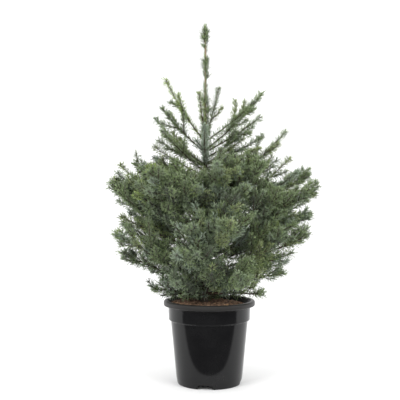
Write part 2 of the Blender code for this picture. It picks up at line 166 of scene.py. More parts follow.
def add_turned(name, profile, sides):
    """A solid of revolution; the profile runs from the axis at the top, down the outside, to the axis."""
    mesh = bpy.data.meshes.new(name)
    edges = [(i, i + 1) for i in range(len(profile) - 1)]
    mesh.from_pydata([(radius, 0, height) for radius, height in profile], edges, [])
    turned = bpy.data.objects.new(name, mesh)
    scene.collection.objects.link(turned)
    screw = turned.modifiers.new("turn", "SCREW")
    screw.steps = sides
    screw.render_steps = sides
    screw.use_merge_vertices = True
    screw.merge_threshold = 0.002 * MM
    return turned


def made_plain(obj):
    """Bakes an object's modifiers into its mesh."""
    graph = bpy.context.evaluated_depsgraph_get()
    mesh = bpy.data.meshes.new_from_object(obj.evaluated_get(graph))
    obj.modifiers.clear()
    obj.data = mesh
    return obj


def cut(obj, cutter):
    boolean = obj.modifiers.new("cut", "BOOLEAN")
    boolean.operation = "DIFFERENCE"
    boolean.object = cutter
    made_plain(obj)
    bpy.data.objects.remove(cutter, do_unlink=True)


def channel_cutter(grow):
    """The four drain channels, each side moved out by grow."""
    bm = bmesh.new()
    for turn in range(CHANNELS):
        angle = math.radians(CHANNEL_TURN + turn * 360 / CHANNELS)
        out = Vector((math.cos(angle), math.sin(angle), 0))
        side = Vector((-math.sin(angle), math.cos(angle), 0))
        box = bmesh.ops.create_cube(bm, size=1.0)
        for vert in box["verts"]:
            x, y, z = vert.co
            along = FOOT_RADIUS - CHANNEL_LENGTH - grow if x < 0 else RIM_RADIUS
            flare = 1.5 * MM if z < 0 else 0.0
            across = math.copysign(CHANNEL_WIDTH / 2 + grow + flare, y)
            height = -10 * MM if z < 0 else CHANNEL_HEIGHT + grow
            vert.co = out * along + side * across + Vector((0, 0, height))
    mesh = bpy.data.meshes.new("channels")
    bm.to_mesh(mesh)
    bm.free()
    cutter = bpy.data.objects.new("channels", mesh)
    scene.collection.objects.link(cutter)
    return cutter


def drain_cutter():
    bm = bmesh.new()
    for turn in range(CHANNELS):
        angle = math.radians(CHANNEL_TURN + turn * 360 / CHANNELS)
        hole = bmesh.ops.create_cone(
            bm, cap_ends=True, segments=32, radius1=DRAIN_RADIUS, radius2=DRAIN_RADIUS, depth=CUT_CLEAR
        )
        reach = FOOT_RADIUS - CHANNEL_LENGTH + DRAIN_INSET
        middle = Vector((reach * math.cos(angle), reach * math.sin(angle), CHANNEL_HEIGHT))
        bmesh.ops.translate(bm, verts=hole["verts"], vec=middle)
    mesh = bpy.data.meshes.new("drains")
    bm.to_mesh(mesh)
    bm.free()
    cutter = bpy.data.objects.new("drains", mesh)
    scene.collection.objects.link(cutter)
    return cutter


lip_middle = (RIM_RADIUS - LIP_ROUND, POT_HEIGHT - LIP_ROUND)
outer_profile = [(0, POT_HEIGHT), (MOUTH_RADIUS + 2 * MM, POT_HEIGHT)]
outer_profile += arc(lip_middle, LIP_ROUND, 90, 0, 8)
outer_profile += arc((RIM_RADIUS - 3 * MM, POT_HEIGHT - LIP_DROP + 3 * MM), 3 * MM, 0, -90, 6)
outer_profile += [(COLLAR_RADIUS + 2.5 * MM, POT_HEIGHT - LIP_DROP)]
outer_profile += [(COLLAR_RADIUS + 0.6 * MM, POT_HEIGHT - LIP_DROP - 1.2 * MM)]
outer_profile += [(COLLAR_RADIUS, POT_HEIGHT - LIP_DROP - 4 * MM)]
outer_profile += arc((COLLAR_RADIUS - 3 * MM, SHOULDER_HEIGHT + 4.5 * MM), 2 * MM, 0, -75, 5)
outer_profile += arc((BODY_TOP_RADIUS + 1.6 * MM, SHOULDER_HEIGHT - 0.5 * MM), 1.6 * MM, 110, 185, 4)
outer_profile += [(BODY_FOOT_RADIUS + 0.3 * MM, FOOT_HEIGHT + 4 * MM)]
outer_profile += [(BODY_FOOT_RADIUS - 0.4 * MM, FOOT_HEIGHT), (FOOT_RADIUS + 0.8 * MM, FOOT_HEIGHT - 4 * MM)]
outer_profile += [(FOOT_RADIUS, 4 * MM)]
outer_profile += arc((FOOT_RADIUS - 3 * MM, 2.5 * MM), 2.5 * MM, 0, -90, 5)
outer_profile += [(0, 0)]
inner_profile = [(0, POT_HEIGHT + CUT_CLEAR), (MOUTH_RADIUS, POT_HEIGHT + CUT_CLEAR)]
inner_profile += [(MOUTH_RADIUS, POT_HEIGHT - 1.5 * MM), (MOUTH_RADIUS - 1.2 * MM, POT_HEIGHT - 4 * MM)]
inner_profile += [(COLLAR_RADIUS - POT_WALL, POT_HEIGHT - 7 * MM)]
inner_profile += [(COLLAR_RADIUS - POT_WALL - 1 * MM, SHOULDER_HEIGHT + 5 * MM)]
inner_profile += [(BODY_TOP_RADIUS - POT_WALL, SHOULDER_HEIGHT - 2 * MM)]
inner_profile += [(BODY_FOOT_RADIUS - POT_WALL, FOOT_HEIGHT + 3 * MM)]
inner_profile += [(FOOT_RADIUS - POT_WALL - 1 * MM, 5 * MM), (FOOT_RADIUS - POT_WALL - 4 * MM, POT_WALL)]
inner_profile += [(0, POT_WALL)]

hollow = made_plain(add_turned("hollow", inner_profile, POT_SIDES))
cut(hollow, channel_cutter(POT_WALL))
pot = made_plain(add_turned("pot_shell", outer_profile, POT_SIDES))
cut(pot, hollow)
cut(pot, channel_cutter(0.0))
cut(pot, drain_cutter())
pot.data.shade_smooth()
pot.data.set_sharp_from_angle(angle=math.radians(38))


def bump_from(nodes, links, height_socket, strength, distance, shader):
    bump = nodes.new("ShaderNodeBump")
    bump.inputs["Strength"].default_value = strength
    bump.inputs["Distance"].default_value = distance
    links.new(height_socket, bump.inputs["Height"])
    links.new(bump.outputs["Normal"], shader.inputs["Normal"])


def speckle_group():
    """Fine noise and larger clouds over a surface, as two masks from 0 to 1."""
    group = bpy.data.node_groups.new("speckle_and_cloud", "ShaderNodeTree")
    for name, value in (("Fine Scale", 400.0), ("Cloud Scale", 20.0), ("Cloud Low", 0.4), ("Cloud High", 0.6)):
        socket = group.interface.new_socket(name, in_out="INPUT", socket_type="NodeSocketFloat")
        socket.default_value = value
    group.interface.new_socket("Fine", in_out="OUTPUT", socket_type="NodeSocketFloat")
    group.interface.new_socket("Cloud", in_out="OUTPUT", socket_type="NodeSocketFloat")
    nodes, links = group.nodes, group.links
    given = nodes.new("NodeGroupInput")
    out = nodes.new("NodeGroupOutput")
    place = nodes.new("ShaderNodeTexCoord")
    for kind in ("Fine", "Cloud"):
        texture = nodes.new("ShaderNodeTexNoise")
        texture.inputs["Detail"].default_value = 3.0
        links.new(place.outputs["Object"], texture.inputs["Vector"])
        links.new(given.outputs[kind + " Scale"], texture.inputs["Scale"])
        if kind == "Fine":
            links.new(texture.outputs["Fac"], out.inputs[kind])
            continue
        spread = nodes.new("ShaderNodeMapRange")
        links.new(texture.outputs["Fac"], spread.inputs["Value"])
        links.new(given.outputs["Cloud Low"], spread.inputs["From Min"])
        links.new(given.outputs["Cloud High"], spread.inputs["From Max"])
        links.new(spread.outputs["Result"], out.inputs[kind])
    return group


SPECKLE = speckle_group()


def add_speckle(material, fine_scale, cloud_scale, cloud_low=0.35, cloud_high=0.65):
    speckle = material.node_tree.nodes.new("ShaderNodeGroup")
    speckle.node_tree = SPECKLE
    speckle.inputs["Fine Scale"].default_value = fine_scale
    speckle.inputs["Cloud Scale"].default_value = cloud_scale
    speckle.inputs["Cloud Low"].default_value = cloud_low
    speckle.inputs["Cloud High"].default_value = cloud_high
    return speckle


def mixed(material, factor, first, second):
    """A colour between two others by a mask; each is a plain colour or a node's output."""
    mix = material.node_tree.nodes.new("ShaderNodeMix")
    mix.data_type = "RGBA"
    for name, colour in (("A", first), ("B", second)):
        if isinstance(colour, bpy.types.NodeSocket):
            material.node_tree.links.new(colour, mix.inputs[name])
        else:
            mix.inputs[name].default_value = (*colour, 1.0)
    material.node_tree.links.new(factor, mix.inputs["Factor"])
    return mix.outputs["Result"]


def ranged(material, factor, low, high):
    """A value between low and high by a mask."""
    span = material.node_tree.nodes.new("ShaderNodeMapRange")
    span.inputs["To Min"].default_value = low
    span.inputs["To Max"].default_value = high
    material.node_tree.links.new(factor, span.inputs["Value"])
    return span.outputs["Result"]


def by_height(material, low, high):
    """A mask that rises from 0 to 1 between two heights."""
    nodes, links = material.node_tree.nodes, material.node_tree.links
    place = nodes.new("ShaderNodeTexCoord")
    parts = nodes.new("ShaderNodeSeparateXYZ")
    span = nodes.new("ShaderNodeMapRange")
    span.inputs["From Min"].default_value = low
    span.inputs["From Max"].default_value = high
    links.new(place.outputs["Object"], parts.inputs["Vector"])
    links.new(parts.outputs["Z"], span.inputs["Value"])
    return span.outputs["Result"]


def math_node(tree, operation, first, second=None):
    node = tree.nodes.new("ShaderNodeMath")
    node.operation = operation
    for socket, value in zip(node.inputs, (first, second)):
        if isinstance(value, bpy.types.NodeSocket):
            tree.links.new(value, socket)
        elif value is not None:
            socket.default_value = value
    return node.outputs["Value"]


def black_plastic():
    """Satin black plastic, duller on the lip and painted a lighter grey there as a painted reflection of the light
    from above, with the unevenness of a thin moulding.
    """
    material = plain_material("black_plastic_moulded", (0.008, 0.008, 0.009), 0.2)
    nodes, links = material.node_tree.nodes, material.node_tree.links
    shader = nodes["Principled BSDF"]
    shader.inputs["Specular IOR Level"].default_value = 0.29
    speckle = add_speckle(material, 900.0, 26.0)
    lip = by_height(material, POT_HEIGHT - LIP_DROP - 6 * MM, POT_HEIGHT - LIP_DROP + 2 * MM)
    black = mixed(material, speckle.outputs["Cloud"], (0.0065, 0.0065, 0.007), (0.0085, 0.0085, 0.009))
    # painted reflection: the lip's base colour is a lighter grey, standing in for the light from above reflected in
    # it
    links.new(mixed(material, lip, black, (0.022, 0.021, 0.020)), shader.inputs["Base Color"])
    glossy = ranged(material, speckle.outputs["Cloud"], 0.12, 0.15)
    dull = math_node(material.node_tree, "MULTIPLY", lip, 0.26)
    links.new(math_node(material.node_tree, "ADD", glossy, dull), shader.inputs["Roughness"])
    bump_from(nodes, links, speckle.outputs["Fine"], 0.06, 0.2 * MM, shader)
    return material


pot.data.materials.clear()
pot.data.materials.append(black_plastic())
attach(pot, "root")
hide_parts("pot")


# Compost. Damp reddish-brown bark mulch, filled to a little below the lip and slightly heaped round
# the trunk, with loose flat chips of bark and paler wood lying on it.
SOIL_HEIGHT = 196.5 * MM
SOIL_HEAP = 5.5 * MM
SOIL_DIP = 1 * MM
SOIL_TILT = 0.035  # it lies higher on the left
SOIL_EDGE = COLLAR_RADIUS - POT_WALL - 0.6 * MM
SOIL_DEPTH = 12 * MM
SOIL_RINGS = 60
SOIL_SIDES = 160
SOIL_LUMP = 3.0 * MM
CHIP_SPACING = 4.2 * MM
CHIP_SEED = 3


def soil_height(x, y):
    """The top of the mulch at a place: a slight heap at the middle, with lumps of two sizes."""
    share = math.hypot(x, y) / SOIL_EDGE
    lump = noise.noise(Vector((x, y, 0.3)) * 70) + 0.6 * noise.noise(Vector((x, y, 1.7)) * 190)
    bed = SOIL_HEIGHT + SOIL_HEAP * (1 - share**4) - SOIL_DIP * share**2 - SOIL_TILT * x
    return bed + SOIL_LUMP * lump * 0.6


def compost_mesh():
    bm = bmesh.new()
    middle = bm.verts.new((0, 0, soil_height(0, 0)))
    below = bm.verts.new((0, 0, SOIL_HEIGHT - SOIL_DEPTH))
    rings = []
    for ring in range(1, SOIL_RINGS + 1):
        radius = SOIL_EDGE * ring / SOIL_RINGS
        verts = []
        for step in range(SOIL_SIDES):
            angle = math.tau * step / SOIL_SIDES
            x, y = radius * math.cos(angle), radius * math.sin(angle)
            verts.append(bm.verts.new((x, y, soil_height(x, y))))
        rings.append(verts)
    foot = [bm.verts.new((vert.co.x, vert.co.y, SOIL_HEIGHT - SOIL_DEPTH)) for vert in rings[-1]]
    rings.append(foot)
    for step in range(SOIL_SIDES):
        after = (step + 1) % SOIL_SIDES
        bm.faces.new((middle, rings[0][step], rings[0][after]))
        for inner, outer in zip(rings, rings[1:]):
            bm.faces.new((inner[step], outer[step], outer[after], inner[after]))
        bm.faces.new((below, foot[after], foot[step]))
    mesh = bpy.data.meshes.new("mulch_bed")
    bm.to_mesh(mesh)
    bm.free()
    mesh.shade_smooth()
    return mesh


def mulch_material(name, dark, light, fine_scale):
    material = plain_material(name, dark, 0.85)
    nodes, links = material.node_tree.nodes, material.node_tree.links
    shader = nodes["Principled BSDF"]
    speckle = add_speckle(material, fine_scale, 110.0)
    links.new(mixed(material, speckle.outputs["Cloud"], dark, light), shader.inputs["Base Color"])
    links.new(ranged(material, speckle.outputs["Cloud"], 0.72, 0.95), shader.inputs["Roughness"])
    bump_from(nodes, links, speckle.outputs["Fine"], 0.5, 0.6 * MM, shader)
    return material


compost = bpy.data.objects.new("mulch_bed", compost_mesh())
scene.collection.objects.link(compost)
compost.data.materials.append(mulch_material("dark_mulch", (0.080, 0.052, 0.035), (0.220, 0.140, 0.095), 700.0))
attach(compost, "root")
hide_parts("compost")


def chip_object(name, length, width, thickness):
    """A flat splinter of bark with worn ends."""
    bm = bmesh.new()
    bmesh.ops.create_cube(bm, size=1.0)
    bmesh.ops.subdivide_edges(bm, edges=bm.edges, cuts=1, use_grid_fill=True)
    for vert in bm.verts:
        x, y, z = vert.co * 2
        taper = 1 - 0.35 * abs(x) ** 2
        swell = 1 + 0.25 * noise.noise(vert.co * 3 + Vector((length, width, 0)) * 900)
        vert.co = Vector((x * length / 2, y * width / 2 * taper * swell, z * thickness / 2 * swell))
    mesh = bpy.data.meshes.new(name)
    bm.to_mesh(mesh)
    bm.free()
    chip = bpy.data.objects.new(name, mesh)
    scene.collection.objects.link(chip)
    return chip


def group_inputs(tree, sockets):
    """Gives a Geometry Nodes tree its geometry sockets and these named inputs, and returns the input node."""
    tree.interface.new_socket("Geometry", in_out="INPUT", socket_type="NodeSocketGeometry")
    tree.interface.new_socket("Geometry", in_out="OUTPUT", socket_type="NodeSocketGeometry")
    for name, kind in sockets:
        tree.interface.new_socket(name, in_out="INPUT", socket_type=kind)
    return tree.nodes.new("NodeGroupInput")


def set_input(modifier, name, value):
    for item in modifier.node_group.interface.items_tree:
        if item.name == name and item.in_out == "INPUT":
            modifier[item.identifier] = value


def random_value(tree, low, high, seed, offset):
    node = tree.nodes.new("FunctionNodeRandomValue")
    node.data_type = "FLOAT"
    node.inputs[2].default_value = low
    node.inputs[3].default_value = high
    tree.links.new(math_node(tree, "ADD", seed, offset), node.inputs["Seed"])
    return node.outputs[1]


def scatter_tree():
    """Lays copies of one object over the upper faces of a surface, each turned and tilted at random."""
    tree = bpy.data.node_groups.new("scattered_chips", "GeometryNodeTree")
    given = group_inputs(
        tree,
        (
            ("Chip", "NodeSocketObject"),
            ("Spacing", "NodeSocketFloat"),
            ("Density", "NodeSocketFloat"),
            ("Tilt", "NodeSocketFloat"),
            ("Seed", "NodeSocketInt"),
            ("Material", "NodeSocketMaterial"),
        ),
    )
    links = tree.links
    normal = tree.nodes.new("GeometryNodeInputNormal")
    parts = tree.nodes.new("ShaderNodeSeparateXYZ")
    links.new(normal.outputs[0], parts.inputs[0])
    upward = math_node(tree, "GREATER_THAN", parts.outputs["Z"], 0.3)
    points = tree.nodes.new("GeometryNodeDistributePointsOnFaces")
    points.distribute_method = "POISSON"
    links.new(given.outputs["Geometry"], points.inputs["Mesh"])
    links.new(upward, points.inputs["Selection"])
    links.new(given.outputs["Spacing"], points.inputs["Distance Min"])
    links.new(given.outputs["Density"], points.inputs["Density Max"])
    links.new(given.outputs["Seed"], points.inputs["Seed"])
    chip = tree.nodes.new("GeometryNodeObjectInfo")
    links.new(given.outputs["Chip"], chip.inputs["Object"])
    seed = given.outputs["Seed"]
    turn = tree.nodes.new("ShaderNodeCombineXYZ")
    tilt = given.outputs["Tilt"]
    links.new(math_node(tree, "MULTIPLY", random_value(tree, -1, 1, seed, 1), tilt), turn.inputs["X"])
    links.new(math_node(tree, "MULTIPLY", random_value(tree, -1, 1, seed, 2), tilt), turn.inputs["Y"])
    links.new(random_value(tree, 0, math.tau, seed, 3), turn.inputs["Z"])
    rotation = tree.nodes.new("FunctionNodeEulerToRotation")
    links.new(turn.outputs[0], rotation.inputs[0])
    laid = tree.nodes.new("GeometryNodeInstanceOnPoints")
    links.new(points.outputs["Points"], laid.inputs["Points"])
    links.new(chip.outputs["Geometry"], laid.inputs["Instance"])
    links.new(rotation.outputs[0], laid.inputs["Rotation"])
    links.new(random_value(tree, 0.5, 1.3, seed, 4), laid.inputs["Scale"])
    real = tree.nodes.new("GeometryNodeRealizeInstances")
    links.new(laid.outputs[0], real.inputs[0])
    paint = tree.nodes.new("GeometryNodeSetMaterial")
    links.new(real.outputs[0], paint.inputs["Geometry"])
    links.new(given.outputs["Material"], paint.inputs["Material"])
    out = tree.nodes.new("NodeGroupOutput")
    links.new(paint.outputs[0], out.inputs[0])
    return tree


SCATTER = scatter_tree()
CHIPS = {
    "bark_chips": ((13 * MM, 7 * MM, 2.2 * MM), 7.5 * MM, 30000.0, 0.35, (0.16, 0.098, 0.062), (0.40, 0.25, 0.16)),
    "mulch_crumbs": ((5 * MM, 3.5 * MM, 2 * MM), 3.8 * MM, 90000.0, 0.6, (0.10, 0.064, 0.042), (0.28, 0.18, 0.12)),
    "pale_splinters": ((19 * MM, 4 * MM, 1.8 * MM), 26 * MM, 1600.0, 0.18, (0.32, 0.19, 0.085), (0.52, 0.33, 0.15)),
}


def bed_top():
    """The mulch's upper face, drawn in so that nothing on it reaches the pot, with the trunk's foot left out."""
    bed = bpy.data.objects.new("bed_top", compost.data.copy())
    scene.collection.objects.link(bed)
    bm = bmesh.new()
    bm.from_mesh(bed.data)
    low = SOIL_HEIGHT - SOIL_DEPTH + 1 * MM
    outside = [
        face
        for face in bm.faces
        if min(vert.co.z for vert in face.verts) < low
        or face.calc_center_median().xy.length > SOIL_EDGE - 7 * MM
        or (face.calc_center_median().xy - Vector((-12 * MM, 0))).length < 14 * MM
    ]
    bmesh.ops.delete(bm, geom=outside, context="FACES")
    bm.to_mesh(bed.data)
    bm.free()
    return bed


for name, (size, spacing, density, tilt, dark, light) in CHIPS.items():
    chip = chip_object(name + "_chip", *size)
    chips = bed_top()
    chips.name = name
    scatter = chips.modifiers.new("scatter", "NODES")
    scatter.node_group = SCATTER
    set_input(scatter, "Chip", chip)
    set_input(scatter, "Spacing", spacing)
    set_input(scatter, "Density", density)
    set_input(scatter, "Tilt", tilt)
    set_input(scatter, "Seed", CHIP_SEED)
    set_input(scatter, "Material", mulch_material(name + "_finish", dark, light, 500.0))
    made_plain(chips)
    bpy.data.objects.remove(chip, do_unlink=True)
    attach(chips, "root")


# Trunk. One upright stem of young spruce, with thin grey-brown bark that flakes in small scales, and
# a slight flare where it stands in the mulch.
TRUNK = (
    (186.0, -12.0, 0.0, 15.5),
    (193.3, -12.0, 0.0, 13.0),
    (199, -12.0, 0.0, 10.6),
    (212, -11.8, 0.0, 9.4),
    (260, -11.2, 0.5, 8.7),
    (340, -10.4, 1.0, 7.6),
    (430, -9.8, 0.8, 6.6),
    (520, -9.4, 0.4, 5.4),
    (600, -9.4, 0.0, 4.2),
    (690, -9.8, 0.0, 3.2),
    (776, -9.6, 0.0, 2.4),
)
TRUNK_SIDES = 36
TRUNK_STEP = 1.6 * MM
BARK_RELIEF = 0.55 * MM
YOUNG_WOOD = (0.25, 0.185, 0.12)
YOUNG_WOOD_FROM = 560 * MM
YOUNG_WOOD_TO = 740 * MM
FLARE_LOBES = 5
FLARE_TOP = 222 * MM


def trunk_section(height):
    """The trunk's middle and its radius at this height."""
    for low, high in zip(TRUNK, TRUNK[1:]):
        if height <= high[0] * MM:
            break
    share = (height / MM - low[0]) / (high[0] - low[0])
    x, y, radius = (a + (b - a) * share for a, b in zip(low[1:], high[1:]))
    return Vector((x * MM, y * MM, height)), radius * MM


def bark_height(place, relief):
    """How far the bark stands out at a place: flakes with sharp edges, longer than they are wide."""
    stretched = Vector((place.x, place.y, place.z * 0.45))
    flakes = noise.cell_vector(stretched * 330).x
    ridges = abs(noise.noise(stretched * 420))
    return relief * (0.5 * flakes + 0.9 * ridges - 0.4)


def limb_mesh(name, sections, sides, relief, lobes=0):
    """A closed limb with bark through (middle, radius) sections; lobes swell its foot."""
    bm = bmesh.new()
    rings = []
    middles = [middle for middle, _ in sections]
    foot = middles[0].z
    side = (middles[1] - middles[0]).orthogonal().normalized()
    for index, (middle, radius) in enumerate(sections):
        after = middles[min(index + 1, len(middles) - 1)]
        before = middles[max(index - 1, 0)]
        ahead = (after - before).normalized()
        side = (side - ahead * side.dot(ahead)).normalized()
        across = ahead.cross(side)
        ring = []
        for step in range(sides):
            angle = math.tau * step / sides
            radial = side * math.cos(angle) + across * math.sin(angle)
            swell = 0.0
            if lobes and middle.z < FLARE_TOP:
                fade = ((FLARE_TOP - middle.z) / (FLARE_TOP - foot)) ** 2
                swell = 0.22 * radius * fade * math.cos(angle * lobes + 0.8)
            surface = middle + radial * radius
            ring.append(bm.verts.new(surface + radial * (swell + bark_height(surface, relief))))
        rings.append(ring)
    for low, high in zip(rings, rings[1:]):
        for step in range(sides):
            after = (step + 1) % sides
            bm.faces.new((low[step], low[after], high[after], high[step]))
    bm.faces.new(list(reversed(rings[0])))
    bm.faces.new(rings[-1])
    mesh = bpy.data.meshes.new(name)
    bm.to_mesh(mesh)
    bm.free()
    mesh.shade_smooth()
    return mesh


def bark_material(name, dark, light, lichen, young_wood=None):
    """Flaking bark: two browns in clouds, a little grey-green bloom, paler young wood at the top, and fine grain."""
    material = plain_material(name, dark, 0.85)
    nodes, links = material.node_tree.nodes, material.node_tree.links
    shader = nodes["Principled BSDF"]
    grain = add_speckle(material, 900.0, 260.0)
    browns = mixed(material, grain.outputs["Cloud"], dark, light)
    bloom = add_speckle(material, 600.0, 45.0, 0.5, 0.75)
    bloomed = mixed(material, ranged(material, bloom.outputs["Cloud"], 0.0, 0.55), browns, lichen)
    if young_wood:
        bloomed = mixed(material, by_height(material, YOUNG_WOOD_FROM, YOUNG_WOOD_TO), bloomed, young_wood)
    links.new(bloomed, shader.inputs["Base Color"])
    links.new(ranged(material, grain.outputs["Cloud"], 0.7, 0.92), shader.inputs["Roughness"])
    bump_from(nodes, links, grain.outputs["Fine"], 0.4, 0.3 * MM, shader)
    return material


def add_piece(name, mesh, material, slot, *nodes):
    """Links a finished mesh as a piece of the plant."""
    piece = bpy.data.objects.new(name, mesh)
    scene.collection.objects.link(piece)
    mesh.materials.clear()
    mesh.materials.append(material)
    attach(piece, "root")
    if nodes:
        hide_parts(*nodes)
    return piece


trunk_steps = round((TRUNK[-1][0] - TRUNK[0][0]) * MM / TRUNK_STEP)
trunk_heights = [
    (TRUNK[0][0] + (TRUNK[-1][0] - TRUNK[0][0]) * step / trunk_steps) * MM for step in range(trunk_steps + 1)
]
trunk_mesh = limb_mesh(
    "trunk_bark", [trunk_section(z) for z in trunk_heights], TRUNK_SIDES, BARK_RELIEF, FLARE_LOBES
)
trunk_bark = bark_material(
    "trunk_bark_finish", (0.030, 0.021, 0.015), (0.085, 0.060, 0.040), (0.075, 0.080, 0.060), YOUNG_WOOD
)
add_piece("trunk_bark", trunk_mesh, trunk_bark, "trunk_bark", "trunk")


# Boughs. The woody limbs of the six lower whorls: each leaves the trunk in an easy bend, tapers,
# and goes on as the stem of its own mass of needles.
BOUGHS = {
    "w1_left": (222, 193, 140, 240),
    "w1_right": (224, 338, 160, 229),
    "w1_front": (226, 266, 132, 226),
    "w1_back": (228, 82, 142, 236),
    "w2_left": (244, 170, 225, 327),
    "w2_right": (243, 12, 218, 272),
    "w2_front": (248, 300, 205, 276),
    "w2_back": (250, 116, 214, 292),
    "w3_left": (270, 208, 248, 381),
    "w3_right": (274, 347, 268, 380),
    "w3_front": (284, 252, 222, 338),
    "w3_back": (288, 52, 240, 362),
    "w4_left": (312, 149, 236, 430),
    "w4_right": (315, 8, 282, 427),
    "w4_front": (319, 284, 238, 412),
    "w5_left": (352, 186, 242, 508),
    "w5_right": (356, 342, 292, 497),
    "w5_back": (360, 90, 250, 474),
    "w6_front": (402, 236, 236, 527),
    "w6_right": (405, 17, 292, 533),
    "w6_back": (409, 131, 238, 548),
}
SHORT_STEMS = {"w1_front": 0.4}  # the share of this bough that its stem reaches; the trunk's foot shows below it
BOUGH_SHARE = 0.30
KNEE_SHARE = 0.55
KNEE_RISE = 0.38
KNEE_LIFT = 4 * MM
LIMB_RADIUS = 4.2 * MM
LIMB_TIP_RADIUS = 2.8 * MM
LIMB_SIDES = 16
LIMB_SECTIONS = 44
LIMB_RELIEF = 0.3 * MM


class Axis:
    """The line of a bough from the trunk's middle to its tip, a smooth bend that turns up towards the tip."""

    def __init__(self, height, azimuth, reach, tip_height):
        self.reach = reach * MM
        self.foot = trunk_section(height * MM)[0]
        angle = math.radians(azimuth)
        out = Vector((math.cos(angle), math.sin(angle), 0))
        self.tip = self.foot + out * (reach * MM)
        self.tip.z = tip_height * MM
        self.knee = self.foot + out * (reach * MM * KNEE_SHARE)
        self.knee.z += (self.tip.z - self.foot.z) * KNEE_RISE + KNEE_LIFT
        self.length = (self.tip - self.foot).length

    def point(self, t):
        return self.foot * (1 - t) ** 2 + self.knee * (2 * t * (1 - t)) + self.tip * t**2

    def heading(self, t):
        return ((self.knee - self.foot) * (1 - t) + (self.tip - self.knee) * t).normalized()


bough_bark = bark_material("bough_bark_finish", (0.036, 0.024, 0.016), (0.110, 0.075, 0.045), (0.080, 0.085, 0.060))
for name, place in BOUGHS.items():
    axis = Axis(*place)
    sections = []
    for step in range(LIMB_SECTIONS):
        share = step / (LIMB_SECTIONS - 1)
        radius = LIMB_RADIUS + (LIMB_TIP_RADIUS - LIMB_RADIUS) * share
        sections.append((axis.point(BOUGH_SHARE * share), radius))
    limb = limb_mesh("bough_bark_" + name, sections, LIMB_SIDES, LIMB_RELIEF)
    add_piece("bough_bark_" + name, limb, bough_bark, "bough_bark", "bough_" + name)


# Twigs. From each bough's stem the side twigs leave by the golden angle, bend upwards and fork again
# into short side shoots; the upper shoots are green and carry only short side twigs.
SHOOTS = {
    "w7_left": (455, 167, 196, 560, 12),
    "w7_front": (458, 281, 190, 580, 4),
    "w7_right": (462, 351, 206, 634, 9),
    "w7_back": (466, 66, 196, 600, 4),
    "w8_left": (546, 178, 132, 672, 7),
    "w8_right": (549, 22, 168, 630, 6),
    "w8_front": (553, 268, 128, 640, 4),
    "w9_left": (579, 201, 121, 695, 7),
    "w9_right": (582, 339, 150, 668, 9),
    "w10_left": (606, 172, 106, 773, 6),
    "w10_right": (609, 8, 150, 738, 9),
    "w10_front": (616, 246, 42, 733, 0),
    "w10_back": (620, 48, 53, 756, 1),
}
CROWN = (
    (205, 130, 0.06),
    (240, 152, 0.02),
    (275, 198, -0.03),
    (330, 216, 0.09),
    (380, 230, 0.12),
    (430, 244, 0.09),
    (465, 252, 0.04),
    (490, 254, -0.04),
    (512, 238, -0.10),
    (530, 204, -0.06),
    (560, 188, 0.0),
    (580, 162, 0.05),
    (640, 150, 0.09),
    (700, 128, 0.09),
    (780, 110, 0.09),
    (910, 40, 0.09),
)
NEEDLE_ROOM = 17 * MM  # needles reach this far past the tip of their twig
RAGGEDNESS = 98 * MM  # how far short of the crown's limit the innermost side twigs may stay
COMPANIONS = (
    (588, 5, 118, 700, 6),
    (566, 352, 124, 648, 4),
    (552, 12, 104, 622, 4),
    (548, 200, 96, 616, 4),
    (540, 338, 150, 589, 6),
    (545, 196, 128, 611, 4),
    (530, 224, 150, 630, 6),
    (520, 186, 136, 598, 5),
    (500, 172, 138, 571, 6),
    (440, 358, 186, 566, 14),
    (470, 300, 140, 530, 12),
    (480, 60, 150, 545, 5),
    (480, 120, 150, 548, 5),
    (430, 318, 190, 552, 14),
    (438, 285, 165, 530, 12),
    (412, 262, 160, 486, 12),
    (398, 303, 180, 492, 12),
    (400, 4, 222, 572, 8),
    (385, 352, 238, 536, 5),
    (345, 8, 272, 462, 4),
    (262, 354, 226, 331, 4),
    (255, 3, 210, 303, 3),
    (372, 176, 222, 556, 4),
    (362, 184, 226, 533, 4),
    (335, 172, 238, 488, 4),
    (292, 188, 212, 412, 4),
    (280, 172, 214, 396, 3),
    (222, 188, 112, 222, 3),
    (230, 204, 98, 222, 4),
    (226, 230, 88, 224, 3),
    (246, 214, 128, 292, 5),
    (234, 186, 112, 264, 5),
    (425, 238, 175, 520, 12),
    (372, 290, 190, 446, 12),
    (380, 215, 190, 470, 12),
    (340, 262, 190, 400, 12),
    (290, 264, 170, 345, 12),
    (262, 278, 150, 312, 12),
    (238, 238, 120, 262, 12),
    (240, 304, 125, 264, 12),
    (236, 92, 120, 262, 12),
    (300, 88, 180, 356, 12),
    (330, 196, 222, 424, 4),
    (322, 340, 236, 402, 4),
    (214, 62, 112, 224, 12),
    (216, 92, 108, 228, 12),
    (213, 124, 112, 224, 12),
    (215, 158, 112, 226, 5),
    (212, 28, 112, 226, 5),
)
BUD_SHOOTS = ((858, 186, 17), (842, 170, 9), (765, 350, 12), (705, 200, 14), (676, 8, 16), (655, 176, 17), (628, 30, 18))
BUD_RISE = 1.5
GROWTH_SEED = 11
noise.seed_set(GROWTH_SEED)  # without a seed, noise_vector starts from another place in each run
GOLDEN_TURN = math.radians(137.5)
FLATTENING = 0.75
UPWARD_BEND = 0.22
FIRST_TWIG = 0.27
LAST_TWIG = 0.90
TWIG_GAP = 13 * MM
PLUME_SHARE = 0.6  # from this share of a bough on, its side twigs form the plume at its tip
PLUME_ROOM = 12 * MM
TWIG_LENGTH = 0.46
TWIG_SHORTENING = 0.95
SHORTEST_TWIG = 32 * MM
TWIG_STEP = 10 * MM
STEM_RADIUS = 2.8 * MM
STEM_TIP_RADIUS = 0.9 * MM
STEM_SHORT = 8 * MM
OVERTOPPED = 20 * MM  # how far an upper shoot's side twigs stay below its tip
TWIG_RADIUS = 1.25 * MM
TWIG_TIP_RADIUS = 0.7 * MM
SHOOT_RADIUS = 1.9 * MM
LEAFY_SHOOT = 12  # side sprays from which an upper shoot branches like a bough
